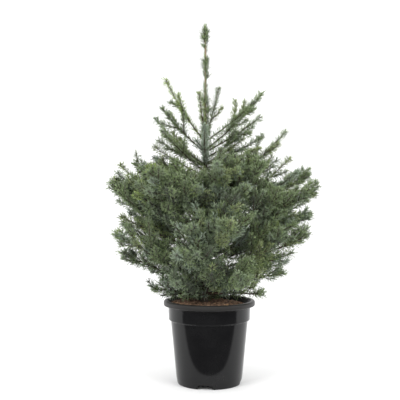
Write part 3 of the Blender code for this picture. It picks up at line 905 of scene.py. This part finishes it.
UPRIGHT = Vector((0, 0, 1))
LEADER_TIP = 904 * MM


class Twig:
    """A line of points with a radius and needles; order 1 is a bough's stem and 3 the finest twig."""

    def __init__(self, points, radius, tip_radius, order, needles, bare, source):
        self.points = points
        self.radius = radius
        self.tip_radius = tip_radius
        self.order = order
        self.needles = needles
        self.bare = bare
        self.source = source
        self.length = sum((b - a).length for a, b in zip(points, points[1:]))


def outer_reach(height):
    """How far from the trunk the crown may reach at this height, and how much further, as a share, to the right."""
    for low, high in zip(CROWN, CROWN[1:]):
        if height <= high[0] * MM:
            break
    share = (height / MM - low[0]) / (high[0] - low[0])
    reach, lopsided = (a + (b - a) * share for a, b in zip(low[1:], high[1:]))
    return reach * MM, lopsided


def in_crown(point, room, own_reach):
    centre = trunk_section(min(max(point.z, TRUNK[0][0] * MM), TRUNK[-1][0] * MM))[0]
    out = Vector((point.x - centre.x, point.y - centre.y))
    reach, lopsided = outer_reach(point.z)
    furthest = reach * (1 + lopsided * out.x / max(out.length, MM))
    return point.z >= CROWN[0][0] * MM and out.length <= max(furthest - room, own_reach)


def side_heading(ahead, around, angle):
    side = ahead.cross(UPRIGHT).normalized()
    radial = side * math.cos(around) + side.cross(ahead) * (FLATTENING * math.sin(around))
    return (ahead * math.cos(angle) + radial * math.sin(angle)).normalized()


def bent_line(root, heading, length, bend, wander):
    """Points of a twig that bends upwards and wanders a little from its line."""
    count = max(3, math.ceil(length / TWIG_STEP))
    points = []
    for step in range(count + 1):
        share = step / count
        point = root + (heading * share + UPRIGHT * (bend * share**2)) * length
        sway = noise.noise_vector(root * 37 + Vector((0, 0, share * 1.7))) * (wander * length * share)
        points.append(point + sway)
    return points


def grow_side(growth, parent_point, ahead, around, angle, length, bend, share, axis):
    """The points of a side twig, shortened until its tip lies in the crown, or nothing.

    The nearer to the trunk it starts, as a share of its bough, the further inside the crown it may end,
    and near the bough's tip it may reach about as far as the bough does, so that the tip is a plume.
    """
    heading = side_heading(ahead, around, angle)
    room = NEEDLE_ROOM + growth.uniform(0.1, 1.0) * RAGGEDNESS * (1 - share)
    own_reach = axis.reach - PLUME_ROOM if share > PLUME_SHARE else 0.0
    while length >= SHORTEST_TWIG * 0.6:
        points = bent_line(parent_point, heading, length, bend, 0.07)
        if in_crown(points[-1], room, own_reach):
            return points
        length *= 0.85
    return None


def fork(growth, parent, count, share_length, source, order, bough_share, axis):
    """Short side shoots along a twig, alternately to its left and right and a little upwards."""
    made = []
    for index in range(count):
        share = 0.25 + 0.6 * (index + growth.uniform(0.2, 0.8)) / count
        place = share * (len(parent.points) - 1)
        step = min(int(place), len(parent.points) - 2)
        root = parent.points[step].lerp(parent.points[step + 1], place - step)
        ahead = (parent.points[step + 1] - parent.points[step]).normalized()
        around = math.pi * index + growth.uniform(-0.6, 0.9)
        length = max(20 * MM, parent.length * share_length * (1.15 - 0.6 * share)) * growth.uniform(0.8, 1.15)
        angle = math.radians(growth.uniform(28, 46))
        points = grow_side(growth, root, ahead, around, angle, length, UPWARD_BEND, bough_share, axis)
        if points:
            made.append(Twig(points, TWIG_RADIUS * 0.8, TWIG_TIP_RADIUS, order, 1.0, 0.0, source))
    return made


def stem_line(axis, start, end=1.0):
    """The stem along a bough's axis, ending where its last needles reach the axis's tip."""
    end -= STEM_SHORT / axis.length
    count = math.ceil(axis.length * (end - start) / TWIG_STEP)
    return [axis.point(start + (end - start) * i / count) for i in range(count + 1)]


def grow_bough(name, axis, start, count, end=1.0):
    """The stem of a bough's mass, its side twigs and their forks."""
    growth = random.Random(f"{GROWTH_SEED} {name}")
    made = [Twig(stem_line(axis, start, end), STEM_RADIUS, STEM_TIP_RADIUS, 1, 1.6, 0.12, name)]
    for index in range(count):
        t = FIRST_TWIG + (LAST_TWIG - FIRST_TWIG) * index / (count - 1) + growth.uniform(-0.02, 0.02)
        if t > end - 0.1:
            break
        around = index * GOLDEN_TURN + growth.uniform(-0.5, 0.5)
        angle = math.radians(growth.uniform(26, 50) * (1.0 if t < PLUME_SHARE else 0.75))
        length = axis.length * TWIG_LENGTH * (1 - TWIG_SHORTENING * (t - FIRST_TWIG)) * growth.uniform(0.8, 1.1)
        if t > PLUME_SHARE:
            length *= 0.6
        length = max(SHORTEST_TWIG, length)
        bend = UPWARD_BEND * (1.5 if t < PLUME_SHARE else 0.7)
        points = grow_side(growth, axis.point(t), axis.heading(t), around, angle, length, bend, t, axis)
        if not points:
            continue
        twig = Twig(points, TWIG_RADIUS, TWIG_TIP_RADIUS, 2, 1.0, 0.08, name)
        made.append(twig)
        made += fork(growth, twig, max(0, round(twig.length / (21 * MM))), 0.44, name, 3, t, axis)
    return made


def grow_shoot(name, axis, sprays):
    """An upper shoot: one stem clothed from near the trunk, and a few side twigs that don't overtop it."""
    growth = random.Random(f"{GROWTH_SEED} {name}")
    made = [Twig(stem_line(axis, 0.0), SHOOT_RADIUS, STEM_TIP_RADIUS, 1, 2.5, 0.03, name)]
    for index in range(sprays):
        t = 0.36 + 0.54 * index / max(1, sprays - 1) + growth.uniform(-0.04, 0.04)
        around = index * GOLDEN_TURN + growth.uniform(-0.5, 0.5)
        length = max(22 * MM, axis.length * 0.24 * growth.uniform(0.7, 1.2))
        angle = math.radians(growth.uniform(30, 52))
        points = grow_side(growth, axis.point(t), axis.heading(t), around, angle, length, 0.15, 1.0, axis)
        if points and points[-1].z < axis.tip.z - OVERTOPPED:
            made.append(Twig(points, TWIG_RADIUS, TWIG_TIP_RADIUS, 2, 2.0, 0.05, name))
    return made


twigs = []
for name, place in BOUGHS.items():
    axis = Axis(*place)
    twigs += grow_bough(name, axis, BOUGH_SHARE, round(axis.length / TWIG_GAP), SHORT_STEMS.get(name, 1.0))
shoots = list(SHOOTS.items()) + [(f"{place[0]} {place[1]}", place) for place in COMPANIONS]
for name, (*place, sprays) in shoots:
    axis = Axis(*place)
    if sprays >= LEAFY_SHOOT:
        twigs += grow_bough(name, axis, 0.0, sprays)
    else:
        twigs += grow_shoot(name, axis, sprays)
for height, azimuth, length in BUD_SHOOTS:
    angle = math.radians(azimuth)
    heading = Vector((math.cos(angle), math.sin(angle), BUD_RISE)).normalized()
    root = trunk_section(min(height, TRUNK[-1][0]) * MM)[0]
    root.z = height * MM
    points = [root + heading * (length * MM * step / 3) for step in range(4)]
    twigs.append(Twig(points, TWIG_RADIUS, TWIG_TIP_RADIUS, 3, 1.6, 0.1, "bud_shoot"))
trunk_top = trunk_section(TRUNK[-1][0] * MM)[0]
leader_tip = Vector((trunk_top.x, trunk_top.y, LEADER_TIP - 9 * MM))
leader_points = [trunk_top.lerp(leader_tip, step / 16) for step in range(17)]
leader = Twig(leader_points, 2.6 * MM, 2.0 * MM, 1, 0.7, 0.0, "foliage_leader")
twigs.append(leader)


def lines_object(name, lines):
    """One mesh of open edge chains; each line is a list of (point, values), stored as named attributes."""
    points, edges, values = [], [], {}
    for line in lines:
        start = len(points)
        for place, (point, facts) in enumerate(line):
            points.append(point)
            if place:
                edges.append((start + place - 1, start + place))
            for key, value in facts.items():
                values.setdefault(key, []).append(value)
    mesh = bpy.data.meshes.new(name)
    mesh.from_pydata(points, edges, [])
    for key, column in values.items():
        if isinstance(column[0], Vector):
            attribute = mesh.attributes.new(key, "FLOAT_VECTOR", "POINT")
            attribute.data.foreach_set("vector", [part for vector in column for part in vector])
        else:
            attribute = mesh.attributes.new(key, "FLOAT", "POINT")
            attribute.data.foreach_set("value", column)
    obj = bpy.data.objects.new(name, mesh)
    scene.collection.objects.link(obj)
    return obj


def named(tree, name, kind):
    node = tree.nodes.new("GeometryNodeInputNamedAttribute")
    node.data_type = kind
    node.inputs["Name"].default_value = name
    return node.outputs["Attribute"]


def tube_tree():
    """Turns edge chains into tapering twigs, round about each chain by its thickness attribute."""
    tree = bpy.data.node_groups.new("tapering_twigs", "GeometryNodeTree")
    given = group_inputs(tree, (("Sides", "NodeSocketInt"), ("Material", "NodeSocketMaterial")))
    links = tree.links
    curves = tree.nodes.new("GeometryNodeMeshToCurve")
    links.new(given.outputs["Geometry"], curves.inputs["Mesh"])
    ring = tree.nodes.new("GeometryNodeCurvePrimitiveCircle")
    ring.inputs["Radius"].default_value = 1.0
    links.new(given.outputs["Sides"], ring.inputs["Resolution"])
    tube = tree.nodes.new("GeometryNodeCurveToMesh")
    tube.inputs["Fill Caps"].default_value = True
    sized = tree.nodes.new("GeometryNodeSetCurveRadius")
    links.new(curves.outputs["Curve"], sized.inputs["Curve"])
    links.new(named(tree, "thickness", "FLOAT"), sized.inputs["Radius"])
    links.new(sized.outputs["Curve"], tube.inputs["Curve"])
    links.new(ring.outputs["Curve"], tube.inputs["Profile Curve"])
    if "Scale" in tube.inputs:
        links.new(named(tree, "thickness", "FLOAT"), tube.inputs["Scale"])
    smooth = tree.nodes.new("GeometryNodeSetShadeSmooth")
    links.new(tube.outputs["Mesh"], smooth.inputs["Geometry"])
    real = tree.nodes.new("GeometryNodeRealizeInstances")
    links.new(smooth.outputs["Geometry"], real.inputs["Geometry"])
    paint = tree.nodes.new("GeometryNodeSetMaterial")
    links.new(real.outputs["Geometry"], paint.inputs["Geometry"])
    links.new(given.outputs["Material"], paint.inputs["Material"])
    out = tree.nodes.new("NodeGroupOutput")
    links.new(paint.outputs["Geometry"], out.inputs["Geometry"])
    return tree


def grown(obj, tree, inputs):
    """Runs a Geometry Nodes tree on an object and keeps the result as its plain mesh."""
    modifier = obj.modifiers.new("grow", "NODES")
    modifier.node_group = tree
    for name, value in inputs.items():
        set_input(modifier, name, value)
    return made_plain(obj)


def twig_line(twig):
    last = len(twig.points) - 1
    return [
        (point, {"thickness": twig.radius + (twig.tip_radius - twig.radius) * step / last})
        for step, point in enumerate(twig.points)
    ]


twig_bark = bark_material("twig_bark_finish", (0.040, 0.030, 0.018), (0.105, 0.080, 0.045), (0.070, 0.085, 0.050))
TUBES = tube_tree()
WOOD = {
    "leader_stem": (10, [leader], trunk_bark),
    "twig_stems": (7, [twig for twig in twigs if twig.order == 1 and twig is not leader], twig_bark),
    "side_twigs": (4, [twig for twig in twigs if twig.order > 1], twig_bark),
}
for name, (sides, chosen, bark) in WOOD.items():
    wood = lines_object(name, [twig_line(twig) for twig in chosen])
    wood = grown(wood, TUBES, {"Sides": sides, "Material": bark})
    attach(wood, "root")


# Needles. Flat, stiff needles, 6 to 20 mm long, that stand out all round each twig and lean towards
# its tip. They grow in sprays of one colour: grey-green with a bloom, plain green, olive and fresh green.
NEEDLE_LENGTH = 17 * MM
NEEDLE_SPACING = 0.72 * MM
LOWER_FULLNESS = 0.66
INNER_REACH = 120 * MM
NEEDLE_HALF_WIDTH = 1.35 * MM
NEEDLE_THICKNESS = 0.7 * MM
LEAN_AT_BASE = math.radians(66)
LEAN_AT_TIP = math.radians(50)
TUFT_LENGTH = 9 * MM
LEADING_TUFT = 1.6
SHORTER_NEEDLES = 0.16  # how much shorter the needles are at the top of the tree
TUFT_LEAN_AT_BASE = math.radians(80)
TUFT_LEAN_AT_TIP = math.radians(26)
SHADED_REACH = 170 * MM
SUNNY_SPRAYS = Vector((-150, -130, 440)) * MM  # the sprays round here, at the left of the front, are fresh green
SUNNY_REACH = 95 * MM
NEEDLE_FOOT_SHADE = 0.62
STRAY_COLOUR = 0.25  # share of the finest twigs that start another colour
NEEDLE_COLOURS = {
    "needles_bloomed": ((0.195, 0.262, 0.175), (0.310, 0.400, 0.280)),
    "needles_grey_green": ((0.160, 0.224, 0.118), (0.262, 0.350, 0.196)),
    "needles_green": ((0.142, 0.210, 0.080), (0.240, 0.330, 0.136)),
    "needles_mid_green": ((0.116, 0.168, 0.068), (0.200, 0.274, 0.120)),
    "needles_deep_green": ((0.046, 0.070, 0.030), (0.088, 0.126, 0.058)),
    "needles_olive": ((0.190, 0.246, 0.084), (0.305, 0.384, 0.145)),
    "needles_fresh": ((0.205, 0.300, 0.068), (0.325, 0.440, 0.118)),
}


def needle_object():
    """One needle of unit length: a flat blade of four faces, as wide at its ends as in its middle, with a keel."""
    bm = bmesh.new()
    base = bm.verts.new((0, 0, 0))
    tip = bm.verts.new((0, 0, 1))
    left = bm.verts.new((-NEEDLE_THICKNESS, -NEEDLE_HALF_WIDTH, 0.2))
    right = bm.verts.new((-NEEDLE_THICKNESS, NEEDLE_HALF_WIDTH, 0.86))
    bm.faces.new((base, left, right))
    bm.faces.new((tip, right, left))
    bm.faces.new((base, tip, left))
    bm.faces.new((tip, base, right))
    bmesh.ops.recalc_face_normals(bm, faces=bm.faces)
    mesh = bpy.data.meshes.new("needle")
    bm.to_mesh(mesh)
    bm.free()
    mesh.shade_smooth()
    tipward = mesh.attributes.new("tipward", "FLOAT", "POINT")
    tipward.data.foreach_set("value", [vert.co.z for vert in mesh.vertices])
    needle = bpy.data.objects.new("needle", mesh)
    scene.collection.objects.link(needle)
    return needle


def vector_node(tree, operation, first, second=None, scale=None):
    node = tree.nodes.new("ShaderNodeVectorMath")
    node.operation = operation
    for socket, value in zip(node.inputs, (first, second)):
        if isinstance(value, bpy.types.NodeSocket):
            tree.links.new(value, socket)
        elif value is not None:
            socket.default_value = value
    if scale is not None:
        tree.links.new(scale, node.inputs["Scale"])
    return node.outputs["Vector"]


def needle_tree():
    """Sets needles along edge chains, each turned by the golden angle and leaning along the heading."""
    tree = bpy.data.node_groups.new("needles_on_twigs", "GeometryNodeTree")
    given = group_inputs(
        tree,
        (
            ("Needle", "NodeSocketObject"),
            ("Spacing", "NodeSocketFloat"),
            ("Turn", "NodeSocketFloat"),
            ("Lift", "NodeSocketFloat"),
            ("Seed", "NodeSocketInt"),
            ("Material", "NodeSocketMaterial"),
        ),
    )
    links = tree.links
    seed = given.outputs["Seed"]
    curves = tree.nodes.new("GeometryNodeMeshToCurve")
    links.new(given.outputs["Geometry"], curves.inputs["Mesh"])
    roots = tree.nodes.new("GeometryNodeCurveToPoints")
    roots.mode = "LENGTH"
    links.new(curves.outputs["Curve"], roots.inputs["Curve"])
    links.new(given.outputs["Spacing"], roots.inputs["Length"])
    thinned = tree.nodes.new("GeometryNodeDeleteGeometry")
    thinned.domain = "POINT"
    links.new(roots.outputs["Points"], thinned.inputs["Geometry"])
    missing = math_node(tree, "GREATER_THAN", random_value(tree, 0, 1, seed, 1), named(tree, "fullness", "FLOAT"))
    links.new(missing, thinned.inputs["Selection"])
    heading = named(tree, "heading", "FLOAT_VECTOR")
    side = vector_node(tree, "NORMALIZE", vector_node(tree, "CROSS_PRODUCT", heading, (0.13, 0.21, 1.0)))
    over = vector_node(tree, "CROSS_PRODUCT", heading, side)
    index = tree.nodes.new("GeometryNodeInputIndex")
    turned = math_node(tree, "MULTIPLY", index.outputs[0], given.outputs["Turn"])
    around = math_node(tree, "ADD", turned, random_value(tree, -0.6, 0.6, seed, 2))
    radial = vector_node(
        tree,
        "ADD",
        vector_node(tree, "SCALE", side, scale=math_node(tree, "COSINE", around)),
        vector_node(tree, "SCALE", over, scale=math_node(tree, "SINE", around)),
    )
    lean = math_node(tree, "MULTIPLY", named(tree, "lean", "FLOAT"), random_value(tree, 0.55, 1.4, seed, 3))
    flat_way = vector_node(
        tree,
        "ADD",
        vector_node(tree, "SCALE", heading, scale=math_node(tree, "COSINE", lean)),
        vector_node(tree, "SCALE", radial, scale=math_node(tree, "SINE", lean)),
    )
    seated = tree.nodes.new("GeometryNodeSetPosition")
    links.new(thinned.outputs["Geometry"], seated.inputs["Geometry"])
    outwards = vector_node(tree, "SCALE", radial, scale=math_node(tree, "MULTIPLY", named(tree, "thickness", "FLOAT"), 0.85))
    links.new(outwards, seated.inputs["Offset"])
    lift = tree.nodes.new("ShaderNodeCombineXYZ")
    links.new(given.outputs["Lift"], lift.inputs["Z"])
    way = vector_node(tree, "ADD", flat_way, lift.outputs["Vector"])
    pointed = tree.nodes.new("FunctionNodeAlignRotationToVector")
    pointed.axis = "Z"
    links.new(way, pointed.inputs["Vector"])
    faced = tree.nodes.new("FunctionNodeAlignRotationToVector")
    faced.axis = "X"
    faced.pivot_axis = "Z"
    links.new(pointed.outputs["Rotation"], faced.inputs["Rotation"])
    links.new(heading, faced.inputs["Vector"])
    size = tree.nodes.new("ShaderNodeCombineXYZ")
    size.inputs["X"].default_value = 1.0
    size.inputs["Y"].default_value = 1.0
    long = math_node(tree, "MULTIPLY", named(tree, "needle", "FLOAT"), random_value(tree, 0.55, 1.2, seed, 4))
    links.new(long, size.inputs["Z"])
    needle = tree.nodes.new("GeometryNodeObjectInfo")
    links.new(given.outputs["Needle"], needle.inputs["Object"])
    placed = tree.nodes.new("GeometryNodeInstanceOnPoints")
    links.new(seated.outputs["Geometry"], placed.inputs["Points"])
    links.new(needle.outputs["Geometry"], placed.inputs["Instance"])
    links.new(faced.outputs["Rotation"], placed.inputs["Rotation"])
    links.new(size.outputs["Vector"], placed.inputs["Scale"])
    real = tree.nodes.new("GeometryNodeRealizeInstances")
    links.new(placed.outputs["Instances"], real.inputs["Geometry"])
    paint = tree.nodes.new("GeometryNodeSetMaterial")
    links.new(real.outputs["Geometry"], paint.inputs["Geometry"])
    links.new(given.outputs["Material"], paint.inputs["Material"])
    out = tree.nodes.new("NodeGroupOutput")
    links.new(paint.outputs["Geometry"], out.inputs["Geometry"])
    return tree


def needle_line(twig, length, layer=0):
    """A twig's line with the facts its needles need: their heading, length, lean and how closely they stand.

    A twig that is clothed more closely than one line allows gets the rest as a second layer.
    """
    line = []
    last = len(twig.points) - 1
    for step, point in enumerate(twig.points):
        share = step / last
        ahead = twig.points[min(step + 1, last)] - twig.points[max(step - 1, 0)]
        inner = min(1.0, point.xy.length / INNER_REACH)
        full = twig.needles * LOWER_FULLNESS
        if share < twig.bare:
            full = 0.0
        elif twig.needles <= 1:
            full *= 0.6 + 0.4 * inner
        elif twig.order == 1:
            full *= 0.7 + 0.3 * share
        line.append(
            (
                point,
                {
                    "heading": ahead.normalized(),
                    "needle": length * (0.88 if twig.order == 1 else 1 - 0.25 * share**3),
                    "lean": LEAN_AT_BASE + (LEAN_AT_TIP - LEAN_AT_BASE) * share**2 * (twig.order > 1),
                    "fullness": full - layer,
                    "thickness": twig.radius + (twig.tip_radius - twig.radius) * share,
                },
            )
        )
    return line


def tuft_line(twig, length):
    """The last stretch of a twig again, for the close tuft of needles round its bud, longer on a leading shoot."""
    tip = twig.points[-1]
    ahead = (tip - twig.points[-2]).normalized()
    grow = LEADING_TUFT if twig.order == 1 else 1.0
    needle = length * (0.9 if twig.order == 1 else 0.76)
    facts = {"heading": ahead, "needle": needle, "fullness": 0.75, "thickness": twig.tip_radius}
    return [
        (tip - ahead * (TUFT_LENGTH * grow), {**facts, "lean": TUFT_LEAN_AT_BASE}),
        (tip, {**facts, "lean": TUFT_LEAN_AT_TIP}),
    ]


def height_share(height):
    return min(1.0, max(0.0, (height - 0.22) / 0.5))


def spray_colour(twig, dealing):
    """Which colour a spray gets: bloomed and grey low in the crown, olive and green towards the top, deep green near
    the trunk as painted shade, and lighter greens to the right as painted light.
    """
    tip = twig.points[-1]
    up = height_share(tip.z)
    # painted shade: sprays near the trunk are dealt deep green more often, standing in for the shade inside the
    # crown
    inside = max(0.0, 1 - tip.xy.length / SHADED_REACH)
    # painted light: sprays on the right are dealt lighter greens and less deep green, standing in for the light
    # through the thinner sprays on that side
    right = min(1.0, max(0.0, tip.x / SHADED_REACH))
    chances = {
        "needles_bloomed": 0.20 * (1 - up),
        "needles_grey_green": 0.32 * (1 - up**2),
        "needles_green": 0.28 + 0.15 * right,
        "needles_mid_green": 0.22 * (1 - 0.4 * right) + 0.25 * up**2,
        "needles_deep_green": (0.14 * (1 - 0.7 * right) + 0.5 * inside) * max(0.0, 1 - 1.6 * up**2),
        "needles_olive": 0.03 + 0.30 * up**2 + 0.05 * right,
        "needles_fresh": 0.006 + 0.03 * up + 0.3 * max(0.0, 1 - (tip - SUNNY_SPRAYS).length / SUNNY_REACH),
    }
    return dealing.choices(list(chances), list(chances.values()))[0]


dealing = random.Random(GROWTH_SEED + 1)
sprays = {name: [] for name in NEEDLE_COLOURS}
lines = None
for twig in twigs:
    if twig is leader:
        continue
    if twig.order < 3 or dealing.random() < STRAY_COLOUR:
        lines = sprays[spray_colour(twig, dealing)]
    length = NEEDLE_LENGTH * (1 - SHORTER_NEEDLES * height_share(twig.points[-1].z) ** 2)
    for layer in range(math.ceil(twig.needles * LOWER_FULLNESS)):
        lines.append(needle_line(twig, length, layer))
    lines.append(tuft_line(twig, length))


def upright_line(low, high, needle, lean, fullness):
    """A stretch of the trunk or leader with its own needles: each value runs from its lower to its upper end."""
    steps = max(2, round((high - low) / 8))
    line = []
    for step in range(steps + 1):
        share = step / steps
        height = (low + (high - low) * share) * MM
        point, radius = trunk_section(min(height, TRUNK[-1][0] * MM))
        point.z = height
        facts = {
            "heading": UPRIGHT,
            "needle": (needle[0] + (needle[1] - needle[0]) * share) * MM,
            "lean": math.radians(lean[0] + (lean[1] - lean[0]) * share),
            "fullness": fullness[0] + (fullness[1] - fullness[0]) * share,
            "thickness": radius,
        }
        line.append((point, facts))
    return line


UPRIGHT_NEEDLES = (
    ("needles_grey_green", 206, 262, (13, 15), (22, 34), (0.55, 0.5)),
    ("needles_deep_green", 420, 600, (14, 14), (55, 50), (1.0, 1.0)),
    ("needles_mid_green", 580, 712, (19, 15), (72, 58), (1.0, 0.8)),
    ("needles_deep_green", 580, 716, (15, 14), (48, 40), (0.8, 0.8)),
    ("needles_olive", 620, 712, (18, 15), (74, 60), (0.7, 0.6)),
    ("needles_mid_green", 700, 752, (16, 12), (60, 46), (1.0, 0.7)),
    ("needles_grey_green", 700, 748, (15, 12), (64, 50), (0.8, 0.6)),
    ("needles_mid_green", 742, 785, (10, 10), (40, 42), (0.5, 0.6)),
    ("needles_mid_green", 768, 814, (11, 17), (44, 60), (0.7, 1.0)),
    ("needles_deep_green", 774, 812, (12, 17), (52, 64), (0.8, 1.0)),
    ("needles_mid_green", 780, 814, (13, 17), (58, 62), (0.7, 1.0)),
    ("needles_olive", 784, 818, (12, 14), (40, 24), (0.6, 1.0)),
    ("needles_deep_green", 788, 812, (15, 17), (64, 66), (0.8, 0.8)),
    ("needles_mid_green", 817, 850, (10, 10), (38, 40), (0.6, 0.7)),
    ("needles_mid_green", 844, 886, (11, 17), (44, 60), (0.6, 1.0)),
    ("needles_deep_green", 850, 886, (13, 17), (52, 62), (0.9, 1.0)),
    ("needles_mid_green", 858, 886, (15, 17), (60, 62), (0.9, 1.0)),
    ("needles_olive", 864, 892, (14, 13), (46, 18), (0.7, 1.0)),
    ("needles_deep_green", 862, 884, (16, 17), (66, 64), (0.8, 0.8)),
    ("needles_green", 882, 897, (12, 12), (34, 6), (0.9, 1.0)),
)
for name, *stretch in UPRIGHT_NEEDLES:
    sprays[name].append(upright_line(*stretch))


def needle_material(name, dark, light):
    """Needle green, darker at each needle's foot as painted shade where the needles crowd round the twig, lighter
    towards its tip, with a waxy sheen.
    """
    material = plain_material(name + "_finish", dark, 0.5)
    nodes, links = material.node_tree.nodes, material.node_tree.links
    shader = nodes["Principled BSDF"]
    shader.inputs["Specular IOR Level"].default_value = 0.4
    shader.inputs["Sheen Weight"].default_value = 0.15
    shader.inputs["Sheen Roughness"].default_value = 0.5
    speckle = add_speckle(material, 1200.0, 330.0)
    tipward = nodes.new("ShaderNodeAttribute")
    tipward.attribute_name = "tipward"
    along = math_node(material.node_tree, "MULTIPLY", tipward.outputs["Fac"], 0.75)
    patchy = math_node(material.node_tree, "MULTIPLY", speckle.outputs["Cloud"], 0.45)
    lightness = math_node(material.node_tree, "ADD", along, patchy)
    # painted shade: each needle's foot is darkened by NEEDLE_FOOT_SHADE
    foot = tuple(part * NEEDLE_FOOT_SHADE for part in dark)
    links.new(mixed(material, lightness, foot, light), shader.inputs["Base Color"])
    links.new(ranged(material, speckle.outputs["Fine"], 0.42, 0.62), shader.inputs["Roughness"])
    return material


NEEDLES = needle_tree()
needle = needle_object()
masses = ["foliage_" + name for name in [*BOUGHS, *SHOOTS]] + ["foliage_leader", "foliage_sleeve"]
for order, (name, (dark, light)) in enumerate(NEEDLE_COLOURS.items()):
    clothed = grown(
        lines_object(name, sprays[name]),
        NEEDLES,
        {
            "Needle": needle,
            "Spacing": NEEDLE_SPACING,
            "Turn": GOLDEN_TURN,
            "Lift": 0.16,
            "Seed": order,
            "Material": needle_material(name, dark, light),
        },
    )
    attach(clothed, "root")
    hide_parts(*masses)
bpy.data.objects.remove(needle, do_unlink=True)
